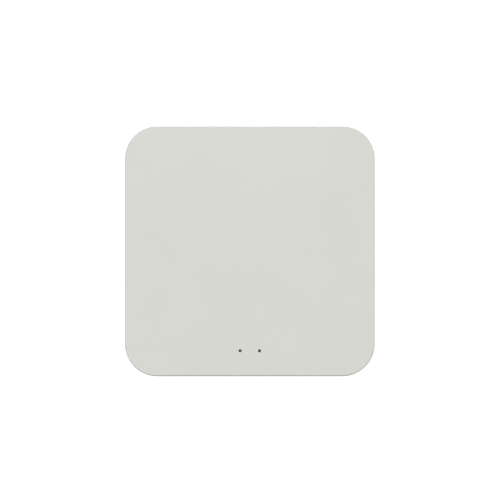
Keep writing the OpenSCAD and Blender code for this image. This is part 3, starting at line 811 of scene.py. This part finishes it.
def build_base():
    """Lower case: rounded bottom edge, floor, lip, posts, ribs and everything cut into the underside."""
    profile = arc((BOTTOM_EDGE_R, FOOT_H + BOTTOM_EDGE_R), BOTTOM_EDGE_R, 270, 180, steps=12)
    profile += [(0, SEAM - 0.06), (0.06, SEAM), (LIP_IN, SEAM), (LIP_IN, LIP_TOP - 0.15),
                (LIP_IN + 0.15, LIP_TOP), (WALL, LIP_TOP), (WALL, FLOOR + 0.4), (WALL + 0.12, FLOOR + 0.12),
                (WALL + 0.4, FLOOR)]
    base = new_object("base_shell", skin(case_ring(profile)), shell_plastic)
    for radius, places in ((4.2, CORNERS), (2.6, BOARD_SCREWS)):
        post = [(radius, FLOOR - 0.5), (radius, BOARD_Z - 0.2), (radius - 0.2, BOARD_Z)]
        add(base, *[turned(post, at) for at in places])
    add(base, *[block((x - 0.5, -28, FLOOR - 0.5), (x + 0.5, 10, BOARD_Z - 0.6)) for x in FLOOR_RIBS_X])
    below = FOOT_H - 1
    ease = 0.2
    recess_r = FOOT_R + 0.1
    recess = [(recess_r + ease, below), (recess_r + ease, FOOT_H), (recess_r, FOOT_H + ease),
              (recess_r, feet_high.z)]
    cut(base, *[turned(recess, at) for at in CORNERS])
    counterbore = [(2.7, FOOT_H), (2.7, CASE_SCREW_SEAT), (1.45, CASE_SCREW_SEAT), (1.45, BOARD_Z + 1)]
    cut(base, *[turned(counterbore, at) for at in CORNERS])
    cut(base, *[turned([(0.85, FLOOR + 0.2), (0.85, BOARD_Z + 1)], at) for at in BOARD_SCREWS])
    cut_underside(base, below, ease)
    gap_half = PLATE_HALF + 0.4
    cut(base, block((-gap_half, HALF - WALL - 0.5, SEAM), (gap_half, HALF - 0.4, LIP_TOP + 1)))
    finish_piece(base, "bottom_case")


def cut_underside(base, below, ease):
    """Keyholes, air slots and label recess, with eased rims where they meet the underside."""
    through = FLOOR + 1
    levels = [(ease, below), (ease, FOOT_H), (0.3 * ease, FOOT_H + 0.3 * ease), (0, FOOT_H + ease),
              (0, through)]
    slot_w = 2 * KEYHOLE_SLOT_R
    pocket_w = 2 * KEYHOLE_R + 1
    pocket = [(0, FOOT_H + 1.2), (0, FOOT_H + 3.2)]
    run_y = KEYHOLE_Y - KEYHOLE_RUN / 2
    for x in KEYHOLES_X:
        cut(base, bar(slot_w, KEYHOLE_RUN + slot_w, KEYHOLE_SLOT_R, levels, (x, run_y), steps=12))
        cut(base, bar(2 * KEYHOLE_R, 2 * KEYHOLE_R, KEYHOLE_R, levels, (x, KEYHOLE_Y), steps=16))
        cut(base, bar(pocket_w, KEYHOLE_RUN + pocket_w, pocket_w / 2, pocket, (x, run_y), steps=12))
    cut(base, *[bar(*VENT_SIZE, VENT_SIZE[0] / 2, levels, (x, VENT_Y), steps=8) for x in VENTS_X])
    width, depth = (label_high - label_low).xy
    at = middle_of(label_low, label_high).xy
    cut(base, bar(width + 1, depth + 1, 2.0, [(0, below), (0, label_high.z)], at, steps=8))


def build_panel():
    """Port panel: inset plate on a flange, with eased openings for the sockets and the button."""
    face = panel_high.y
    edge = 0.25

    def rim(half, low, high, grow, y):
        outline = rounded_rect(2 * (half + grow), high - low + 2 * grow, 0.4, 6)
        return [(x, y, (low + high) / 2 + z) for x, z in outline]

    flange = (panel_high.x, panel_low.z, panel_high.z)
    plate = (PLATE_HALF, panel_low.z + 0.02, PLATE_TOP)
    loops = [
        rim(*flange, -0.15, panel_low.y), rim(*flange, 0, panel_low.y + 0.15), rim(*flange, 0, PANEL_STEP),
        rim(*plate, 0, PANEL_STEP), rim(*plate, 0, face - edge),
        rim(*plate, -0.3 * edge, face - 0.3 * edge), rim(*plate, -edge, face),
    ]
    panel = new_object("port_plate", skin(loops), panel_plastic)
    back = panel_low.y - 1
    net = bar(NET_W + 0.4, NET_H + 0.4, 0.3, eased_mouth(back, face, 0.2))
    usb = bar(USB_W + 0.4, USB_H + 0.4, USB_H / 2 + 0.2, eased_mouth(back, face, 0.35), steps=16)
    reset = turned([(RESET_R + 0.06 + grow, y) for grow, y in eased_mouth(back, face, 0.22)])
    cut(panel, to_back(net, NET_X, BOARD_TOP + NET_H / 2))
    cut(panel, to_back(usb, USB_X, USB_Z))
    cut(panel, to_back(reset, RESET_X, RESET_Z))
    finish_piece(panel, "port_panel")


def build_feet():
    """Four rubber feet, each with a rounded rim and a shallow ring moulded into its sole."""
    high = feet_high.z
    profile = [(1.2, 0.0), (1.3, 0.08), (1.5, 0.12), (1.7, 0.08), (1.8, 0.0), (FOOT_R - 0.4, 0.0)]
    profile += arc((FOOT_R - 0.4, 0.4), 0.4, -60, 0, steps=5)
    profile += [(FOOT_R, high - 0.1), (FOOT_R - 0.1, high)]
    feet = new_object("foot_pads", skin(*[turned(profile, at) for at in CORNERS]), foot_rubber)
    finish_piece(feet, "rubber_feet")


def build_label():
    levels = [(-0.03, label_low.z), (0, label_low.z + 0.03), (0, label_high.z)]
    sheet = bar_over(label_low, label_high, 1.5, levels, steps=10)
    label = new_object("blank_label", skin(sheet), label_film)
    finish_piece(label, "rating_label")


def build_screws(name, node, places, seat, head_r, radius, pitch):
    """Cross-recessed pan screws with a rolled thread, which point away from their heads."""
    low, high = box_mm(node)
    upwards = high.z - seat > seat - low.z
    head_h, length = (seat - low.z, high.z - seat) if upwards else (high.z - seat, seat - low.z)
    head = [(0.3, -head_h), (head_r - 0.9, -head_h + 0.05), (head_r - 0.3, -head_h + 0.3),
            (head_r, -head_h + 0.75), (head_r, -0.1), (head_r - 0.1, 0), (radius, 0), (0.74 * radius, 0.4)]
    arms = []
    for wide, deep in ((head_r / 2, 0.22), (0.22, head_r / 2)):
        levels = [(0.12, -head_h - 1), (0.12, -head_h), (-0.04, -head_h + 0.7)]
        arms.append(bar(2 * wide, 2 * deep, 0.05, levels, steps=2))
    flip = Matrix.Scale(1 if upwards else -1, 4, (0, 0, 1))
    stands = [Matrix.Translation((x, y, seat)) @ flip for x, y in places]
    screws = new_object(name, skin(*[moved(turned(head, steps=48), stand) for stand in stands]), zinc_steel)
    add(screws, *[moved(threaded(radius, 0.3, length, pitch), stand) for stand in stands])
    for arm in arms:
        cut(screws, *[moved(arm, stand) for stand in stands])
    finish_piece(screws, node)


# ---- Lights and reset button ----


def build_guide():
    """Clear light guide: two posts whose thin tips stand just below the cover's top, on one cross bar."""
    levels = eased_levels(GUIDE_BAR_Z, GUIDE_BAR_Z + 1.4, 0.2)
    cross_bar = bar(guide_high.x - guide_low.x, 4.0, 1.9, levels, (0, LIGHT_Y), steps=10)
    guide = new_object("light_pipe", skin(cross_bar), guide_painted_shade)
    tip_r = LIGHT_HOLE_R - 0.075
    tip = guide_high.z
    post = [(1.2, guide_low.z), (1.4, guide_low.z + 0.2), (1.4, ROOF - 0.3), (1.3, ROOF - 0.2),
            (tip_r, ROOF - 0.2), (tip_r, tip - 0.12), (tip_r * 0.8, tip - 0.04), (tip_r * 0.4, tip)]
    add(guide, *[turned(post, (x, LIGHT_Y)) for x in (-LIGHT_X, LIGHT_X)])
    peg_hole = [(0.95, GUIDE_BAR_Z - 1), (0.95, GUIDE_BAR_Z + 3)]
    cut(guide, *[turned(peg_hole, (x, LIGHT_Y)) for x in (-GUIDE_PEG_X, GUIDE_PEG_X)])
    finish_piece(guide, "light_guide")


def build_lights():
    """Chip lights: white body on tinned ends, with a well of phosphor gel on top."""
    shapes = []
    for low, high in solids_of("status_leds"):
        levels = [(0, low.z), (0, low.z + 0.12), (-0.04, low.z + 0.14), (-0.04, high.z - 0.04),
                  (-0.07, high.z), (-0.17, high.z), (-0.2, high.z - 0.05), (-0.3, high.z - 0.08)]
        shapes.append(bar_over(low, high, 0.06, levels, steps=3))
    data = skin(*shapes, bands=[0, 0, 1, 1, 1, 1, 2])
    lights = new_object("chip_lights", data, tinned_steel, white_ceramic, led_phosphor)
    finish_piece(lights, "status_leds")


def build_button():
    """Reset button: rounded, slightly dished face on a stem, with the flange that keeps it in the panel."""
    back = button_low.y
    face = button_high.y
    flange_y = panel_low.y - 0.9
    flange_r = button_high.x - RESET_X
    profile = [(1.4, back), (1.5, back + 0.1), (1.5, flange_y), (flange_r - 0.1, flange_y),
               (flange_r, flange_y + 0.1), (flange_r, flange_y + 0.7), (flange_r - 0.1, flange_y + 0.8),
               (RESET_R, flange_y + 0.8), (RESET_R, face - 0.3)]
    profile += arc((RESET_R - 0.3, face - 0.3), 0.3, 10, 90, steps=6)
    profile += [(1.2, face - 0.05), (0.6, face - 0.12), (0, face - 0.14)]
    button = new_object("reset_cap", skin(to_back(turned(profile), RESET_X, RESET_Z)), shell_plastic)
    finish_piece(button, "reset_button", body="reset_button")


def build_dome():
    """Snap dome under the switch's plunger: a thin cap of a sphere, which flattens as the button goes in."""
    seat = dome_low.y
    rise = dome_high.y - seat
    base_r = (dome_high.x - dome_low.x) / 2
    radius = (rise ** 2 + base_r ** 2) / (2 * rise)
    inner_r = radius - DOME_SHEET
    middle = (0, seat + rise - radius)
    inner_start = math.degrees(math.asin((radius - rise) / inner_r))
    outer_start = math.degrees(math.acos(base_r / radius))
    profile = arc(middle, inner_r, 90, inner_start, steps=12) + arc(middle, radius, outer_start, 90, steps=12)
    dome = new_object("snap_dome", skin(to_back(turned(profile, steps=48), RESET_X, RESET_Z)), dome_steel)
    finish_piece(dome, "reset_switch_dome")
    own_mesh(dome)


# ---- Network socket ----


def build_network_shield():
    """Folded sheet over the top, sides and back, with rounded folds and a leg each side."""
    back = shield_low.y
    rim = 0.06
    outer = [(-0.25, back), (0, back + 0.25), (0, NET_FACE - rim), (-rim, NET_FACE)]
    box = to_back(bar(NET_W, NET_H, 0.3, outer), NET_X, BOARD_TOP + NET_H / 2)
    shield = new_object("network_shield", skin(box), tinned_steel)
    inner_h = NET_H - SHEET + 2
    hollow = bar(NET_W - 2 * SHEET, inner_h, 0.08, eased_mouth(back + SHEET, NET_FACE, rim))
    cut(shield, to_back(hollow, NET_X, BOARD_TOP + NET_H - SHEET - inner_h / 2))
    add(shield, *[
        block((x, NET_LEG_Y - 0.7, TAIL_Z), (x + SHEET, NET_LEG_Y + 0.7, BOARD_TOP + 1), 0.06)
        for x in (shield_low.x, shield_high.x - SHEET)
    ])
    finish_piece(shield, "ethernet_shield")


def plug_outline(grow):
    """Front view of the plug's way in: a wide mouth stepped down to the slot of its release tab."""
    corners = []
    above = CAVITY_TOP + grow
    for half, sill in CAVITY_STEPS:
        corners += [(half + grow, above), (half + grow, sill - grow)]
        above = sill - grow
    return corners + [(-x, z) for x, z in reversed(corners)]


def build_network_housing():
    """Insulator of the network socket, with its stepped cavity, combs for the contacts and two board pegs."""
    width = housing_high.x - housing_low.x
    height = housing_high.z - BOARD_TOP
    body = bar(width, height, 0.15, eased_levels(housing_low.y, housing_high.y, 0.12))
    housing = new_object(
        "network_housing", skin(to_back(body, NET_X, BOARD_TOP + height / 2)), black_plastic
    )
    mouth = eased_mouth(CAVITY_BACK, NET_FACE, 0.3)
    cut(housing, [[(NET_X + x, y, z) for x, z in plug_outline(grow)] for grow, y in mouth])
    for low_y, high_y, low_z, high_z in (
        (NET_FACE - 3.6, NET_FACE - 1.7, CAVITY_TOP - 0.5, CAVITY_TOP + 0.7),
        (CAVITY_BACK - 0.6, CAVITY_BACK + 0.5, BOARD_TOP + 6.4, CAVITY_TOP - 0.2),
    ):
        cut(housing, *[block((x - 0.25, low_y, low_z), (x + 0.25, high_y, high_z)) for x in NET_CONTACTS_X])
    peg = [(1.35, TAIL_Z + 0.4), (1.55, TAIL_Z + 0.7), (1.55, BOARD_TOP + 0.5)]
    add(housing, *[turned(peg, (NET_X + side * NET_PEG_X, NET_PEG_Y)) for side in (-1, 1)])
    finish_piece(housing, "ethernet_housing")


def build_network_contacts():
    """Eight gold spring wires: a tail through the board, a run under the roof and a sloping spring."""
    run_z = CAVITY_TOP + 0.45
    bend_y = NET_FACE - 2.05
    tip = (CAVITY_BACK + 1.2, CAVITY_TOP - 3.2)
    shapes = []
    for i, x in enumerate(NET_CONTACTS_X):
        tail_y = NET_TAILS_Y[i % 2]
        route = [(tail_y, TAIL_Z), (tail_y, run_z), (bend_y, run_z), (bend_y - 0.1, run_z - 0.55), tip,
                 (tip[0] - 0.25, tip[1] + 0.1)]
        shapes.append(strip(bent(route, 0.4), 0.26, 0.34, lambda across, y, z, x=x: (x + across, y, z)))
    contacts = new_object("network_contacts", skin(*shapes), contact_gold)
    finish_piece(contacts, "ethernet_contacts")


# ---- Power socket ----


def build_power_shell():
    """Drawn steel shell with a rolled lip, closed at the back, on four legs."""
    edge = 0.1
    inner = -USB_WALL
    levels = [(-0.4, USB_BACK), (-0.12, USB_BACK + 0.12), (0, USB_BACK + 0.4), (0, USB_FACE - edge),
              (-0.3 * edge, USB_FACE - 0.3 * edge), (-edge, USB_FACE), (inner + 0.1, USB_FACE),
              (inner + 0.02, USB_FACE - 0.08), (inner, USB_FACE - 0.25), (inner, USB_BACK + USB_WALL)]
    drawn = to_back(bar(USB_W, USB_H, USB_H / 2, levels, steps=16), USB_X, USB_Z)
    shell = new_object("power_shell", skin(drawn), tinned_steel)
    for y in USB_LEGS_Y:
        add(shell, *[
            block((x, y - 0.5, TAIL_Z), (x + USB_WALL, y + 0.5, USB_Z), 0.05)
            for x in (usb_low.x, usb_high.x - USB_WALL)
        ])
    finish_piece(shell, "usb_shell")


def build_power_tongue():
    """Insulator: a plug that fills the shell's back, and the thin tongue with its rounded nose."""
    bore_w = USB_W - 2 * USB_WALL - 0.02
    bore_h = USB_H - 2 * USB_WALL - 0.02
    root = USB_BACK + USB_WALL + 1.6
    levels = [(0, USB_BACK + USB_WALL + 0.01), (0, root - 0.15), (-0.15, root)]
    plug = to_back(bar(bore_w, bore_h, bore_h / 2, levels, steps=16), USB_X, USB_Z)
    tongue = new_object("power_tongue", skin(plug), black_plastic)
    nose = tongue_high.y
    levels = [(0, root - 0.5), (0, nose - 0.25), (-0.06, nose - 0.09), (-0.2, nose)]
    add(tongue, to_back(bar(6.7, 0.7, 0.12, levels), USB_X, USB_Z))
    finish_piece(tongue, "usb_tongue")


# ---- Circuit parts ----


def build_passives(name, node, body_material):
    """Small two-ended chips: a ceramic body between two slightly larger tinned caps."""
    shapes = []
    edge = 0.05
    for low, high in solids_of(node):
        size = high - low
        at = middle_of(low, high)
        length, width = max(size.xy), min(size.xy)
        cap = 0.22 * length
        near = [(-edge, 0), (0, edge), (0, cap), (-0.03, cap + 0.02)]
        stations = near + [(grow, length - along) for grow, along in reversed(near)]
        if size.x > size.y:
            start = (at.x - length / 2, at.y, at.z)
            turn = Matrix.Rotation(math.radians(90), 4, "Y")
            section = (size.z, width)
        else:
            start = (at.x, at.y - length / 2, at.z)
            turn = TO_BACK
            section = (width, size.z)
        shapes.append(moved(bar(*section, 0.06, stations, steps=2), Matrix.Translation(start) @ turn))
    data = skin(*shapes, bands=[0, 0, 0, 1, 0, 0, 0])
    chips = new_object(name, data, tinned_steel, body_material)
    finish_piece(chips, node)


def build_leaded_chip(name, node, leads, pitch):
    """Moulded package with drafted sides and a first-pin dimple, on two rows of gull-wing leads."""
    low, high = box_mm(node)
    at = middle_of(low, high)
    reach = 1.1
    thick = 0.15
    foot_up = 0.1
    width = high.x - low.x - 2 * reach
    depth = high.y - low.y
    bottom = low.z + foot_up
    height = high.z - bottom
    waist = bottom + height / 2
    draft = 0.06 * height
    levels = [(-draft, bottom), (-0.02, waist - 0.04), (0, waist - 0.04), (0, waist + 0.04),
              (-0.02, waist + 0.04), (-draft, high.z - 0.05), (-draft - 0.05, high.z)]
    body = bar(width, depth, 0.08, levels, at.xy, steps=3)
    package = new_object(name, skin(body), chip_epoxy, tinned_steel)
    dimple_r = 0.08 * min(width, depth)
    dimple = [(0.8 * dimple_r, high.z - 0.12), (dimple_r, high.z), (dimple_r, high.z + 1)]
    corner = (at.x - width / 2 + draft + 2.2 * dimple_r, high.y - draft - 2.2 * dimple_r)
    cut(package, turned(dimple, corner, 24))
    knee = bottom + 0.4 * height - thick / 2
    route = [(-0.1, knee), (0.43, knee), (0.48, low.z + thick / 2), (reach, low.z + thick / 2)]
    shapes = []
    for side in (-1, 1):
        for i in range(leads):
            start = Vector((at.x + side * width / 2, at.y + pitch * (i - (leads - 1) / 2), 0))
            shapes.append(strip(
                bent(route, 0.2), thick, 0.4,
                lambda across, along, up, start=start, side=side: start + Vector((side * along, across, up)),
            ))
    join_parts(package, skin(*shapes))
    finish_piece(package, node)


def build_grid_chip(name, node):
    """Grid-array package: green substrate, drafted black mould and a first-pin dimple."""
    low, high = box_mm(node)
    levels = [(0, low.z), (0, low.z + 0.35), (-0.25, low.z + 0.35), (-0.38, high.z - 0.04), (-0.42, high.z)]
    body = bar_over(low, high, 0.12, levels, steps=3)
    chip = new_object(name, skin(body, bands=[1, 1, 0, 0]), chip_epoxy, package_green)
    corner = (low.x + 1.3, high.y - 1.3)
    cut(chip, turned([(0.35, high.z - 0.1), (0.42, high.z), (0.42, high.z + 1)], corner, 24))
    finish_piece(chip, node)


def build_can(name, node, holes=()):
    """Drawn shielding can, open below, with rounded edges and air holes."""
    low, high = box_mm(node)
    at = middle_of(low, high)
    sheet = 0.2
    inside = high.z - sheet
    levels = [(-sheet - 0.3, inside), (-sheet - 0.08, inside - 0.08), (-sheet, inside - 0.3), (-sheet, low.z),
              (0, low.z), (0, high.z - 0.5), (-0.15, high.z - 0.15), (-0.5, high.z)]
    can = new_object(name, skin(bar_over(low, high, 0.6, levels, steps=5)), tinned_steel)
    if holes:
        drill = [(0.5 + grow, z) for grow, z in eased_mouth(high.z - 1, high.z, 0.08)]
        cut(can, *[turned(drill, (at.x + x, at.y + y), 24) for x, y in holes])
    finish_piece(can, node)


def build_capacitors():
    """Electrolytic cans: a rolled neck over a black foot, and a top scored to vent."""
    cans = []
    feet = []
    scores = []
    base_top = BOARD_TOP + 0.9
    neck = base_top + 1.1
    for low, high in solids_of("bulk_capacitors"):
        at = middle_of(low, high)
        radius = (high.x - low.x) / 2 - 0.2
        top = high.z
        profile = [(radius - 0.3, base_top - 0.2), (radius, base_top + 0.15), (radius, neck - 0.4),
                   (radius - 0.35, neck - 0.1), (radius - 0.35, neck + 0.1), (radius, neck + 0.4),
                   (radius, top - 0.45), (radius - 0.13, top - 0.13), (radius - 0.45, top),
                   (radius - 0.7, top - 0.06)]
        cans.append(turned(profile, at.xy, 48))
        feet.append(bar(6.6, 6.6, 0.9, eased_levels(BOARD_TOP, base_top, 0.12), at.xy, steps=3))
        scores.append((at, block((-1.6, -0.06, top - 0.14), (1.6, 0.06, top + 1))))
    capacitors = new_object("capacitor_cans", skin(*cans), can_aluminium, black_plastic)
    for turn in (0, 60, 120):
        spin = Matrix.Rotation(math.radians(turn), 4, "Z")
        cut(capacitors, *[moved(line, Matrix.Translation((at.x, at.y, 0)) @ spin) for at, line in scores])
    join_parts(capacitors, skin(*feet))
    finish_piece(capacitors, "bulk_capacitors")


def build_crystals():
    """Welded crystal cans: a flat flange with a drawn lid."""
    shapes = []
    for low, high in solids_of("crystals"):
        levels = [(0, low.z), (0, low.z + 0.15), (-0.2, low.z + 0.17), (-0.24, high.z - 0.15),
                  (-0.32, high.z - 0.03), (-0.45, high.z)]
        shapes.append(bar_over(low, high, 0.4, levels))
    finish_piece(new_object("crystal_cans", skin(*shapes), tinned_steel), "crystals")


def build_plugs():
    """Snap-on coaxial plugs: a turned ring with a crimped waist and a closed cap."""
    shapes = []
    for low, high in solids_of("antenna_plugs"):
        radius = (high.x - low.x) / 2
        waist = low.z + 0.6
        profile = [(radius - 0.08, low.z), (radius, low.z + 0.1), (radius, waist - 0.1),
                   (radius - 0.12, waist), (radius - 0.12, waist + 0.15), (radius, waist + 0.25),
                   (radius, high.z - 0.15), (radius - 0.15, high.z), (0.5, high.z), (0.4, high.z - 0.06)]
        shapes.append(turned(profile, middle_of(low, high).xy, 40))
    finish_piece(new_object("coaxial_plugs", skin(*shapes), contact_gold), "antenna_plugs")


def round_leads():
    """The leads keep their CAD route, rounded off by subdivision."""
    for node in ("wireless_antenna_lead", "mesh_antenna_lead"):
        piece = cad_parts[node]
        weld(piece)
        smooth = piece.modifiers.new("smooth", "SUBSURF")
        smooth.levels = 2
        smooth.render_levels = 2
        paint(piece, jacket_black)


def dress_nodes():
    """The CAD nodes whose own shape stays."""
    modules = ("wireless_module_board", "mesh_module_board")
    outlined = ("shield_can", *modules, "ethernet_transformer", "power_inductor")
    laminate = circuit_laminate("main_laminate", (0.012, 0.1, 0.045), (0.03, 0.2, 0.09), outlined)
    paint(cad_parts["main_board"], laminate)
    for node in modules:
        laminate = circuit_laminate(node, (0.01, 0.03, 0.12), (0.02, 0.06, 0.2), pads_on=box_mm(node))
        dress(node, laminate, 0.05)
    foil = antenna_foil("antenna_foil")
    dress("wireless_antenna", foil, 0.05)
    dress("mesh_antenna", foil, 0.05)
    dress("light_shroud", black_plastic, 0.15)
    dress("reset_switch_base", black_plastic, 0.12)
    dress("reset_switch_frame", tinned_steel, 0.08)
    dress("reset_switch_plunger", black_plastic, 0.12)
    dress("usb_contacts", contact_gold, 0.012)
    dress("thermal_pad", thermal_silicone, 0.15)
    dress("power_inductor", ferrite_block("ferrite_block"), 0.12)
    dress("antenna_sockets", white_ceramic, 0.05)


# ---- Camera, light and floor ----

LENS_MM = 1000.0
SENSOR_MM = 36.0
CASE_SHARE_OF_FRAME = 0.4996
VIEW_TILT = math.radians(0.74)
AIM = (0.07, 0.43)
SOFTBOX_SIZE = 1.1
SOFTBOX_WATTS = 36.9
SOFTBOX_PLACE = (-0.15, 0.75, 2.1)
SKY = 0.3
FLOOR_TONE = (0.45, 0.45, 0.45)
FLOOR_GLOW = 1.0


def add_camera():
    """Looks straight down from far off, leaning a little towards the lights' edge."""
    data = bpy.data.cameras.new("camera")
    data.lens = LENS_MM
    data.sensor_width = SENSOR_MM
    camera = new_object("camera", data)
    seen_width = 2 * HALF * MM / CASE_SHARE_OF_FRAME
    distance = seen_width * LENS_MM / SENSOR_MM
    aim = Vector((*AIM, TOP)) * MM
    camera.location = aim + distance * Vector((0, -math.sin(VIEW_TILT), math.cos(VIEW_TILT)))
    camera.rotation_euler = (VIEW_TILT, 0, 0)
    data.clip_start = distance * 0.1
    data.clip_end = distance * 4
    bpy.context.scene.camera = camera


def add_softbox():
    """One large soft light above and behind the hub, aimed at it."""
    data = bpy.data.lights.new("softbox", "AREA")
    data.shape = "SQUARE"
    data.size = SOFTBOX_SIZE
    data.energy = SOFTBOX_WATTS
    light = new_object("softbox", data)
    light.location = SOFTBOX_PLACE
    light.rotation_euler = Vector(SOFTBOX_PLACE).to_track_quat("Z", "Y").to_euler()
    light.visible_camera = False


def add_sky():
    """Even white light from all round."""
    world = bpy.data.worlds.new("studio")
    world.use_nodes = True
    background = world.node_tree.nodes["Background"]
    background.inputs["Color"].default_value = (1, 1, 1, 1)
    background.inputs["Strength"].default_value = SKY
    bpy.context.scene.world = world
    bpy.context.scene.view_settings.view_transform = "Standard"


def add_floor():
    """Pale floor. It glows when looked at, as a lit sweep does, so that it stays white round the hub."""
    shader = Shader("floor_white", Roughness=0.9, Emission_Color=(1, 1, 1, 1))
    shader.tone(shader.noise(60), FLOOR_TONE, (0.3, 0.98), (0.7, 1.02))
    seen = shader.tree.nodes.new("ShaderNodeLightPath").outputs["Is Camera Ray"]
    shader.set("Emission Strength", shader.math("MULTIPLY", seen, FLOOR_GLOW))
    floor = new_object("floor", skin(bar(4000, 4000, 200, [(0, -1.0), (0, 0.0)])), shader.material)


add_camera()
add_softbox()
add_sky()
add_floor()

build_cover()
build_base()
build_panel()
build_feet()
build_label()
build_screws("case_screw_set", "case_screws", CORNERS, CASE_SCREW_SEAT, 2.4, CASE_SCREW_R, 0.9)
build_screws("board_screw_set", "board_screws", BOARD_SCREWS, BOARD_TOP, 1.9, BOARD_SCREW_R, 0.7)
build_guide()
build_lights()
build_button()
build_dome()
build_network_shield()
build_network_housing()
build_network_contacts()
build_power_shell()
build_power_tongue()
build_grid_chip("processor_package", "processor")
build_grid_chip("memory_package", "memory_chip")
build_leaded_chip("flash_package", "flash_chip", 4, 1.27)
build_leaded_chip("transformer_package", "ethernet_transformer", 8, 1.27)
build_leaded_chip("regulator_package", "voltage_regulator", 3, 2.3)
build_can("processor_can", "shield_can", [(x, y) for x in range(-9, 10, 3) for y in (-9, 9)])
build_can("wireless_can", "wireless_module_can")
build_can("mesh_can", "mesh_module_can")
build_capacitors()
build_crystals()
build_passives("capacitor_chips", "ceramic_capacitors", capacitor_ceramic)
build_passives("resistor_chips", "chip_resistors", resistor_glaze)
build_plugs()
round_leads()
dress_nodes()
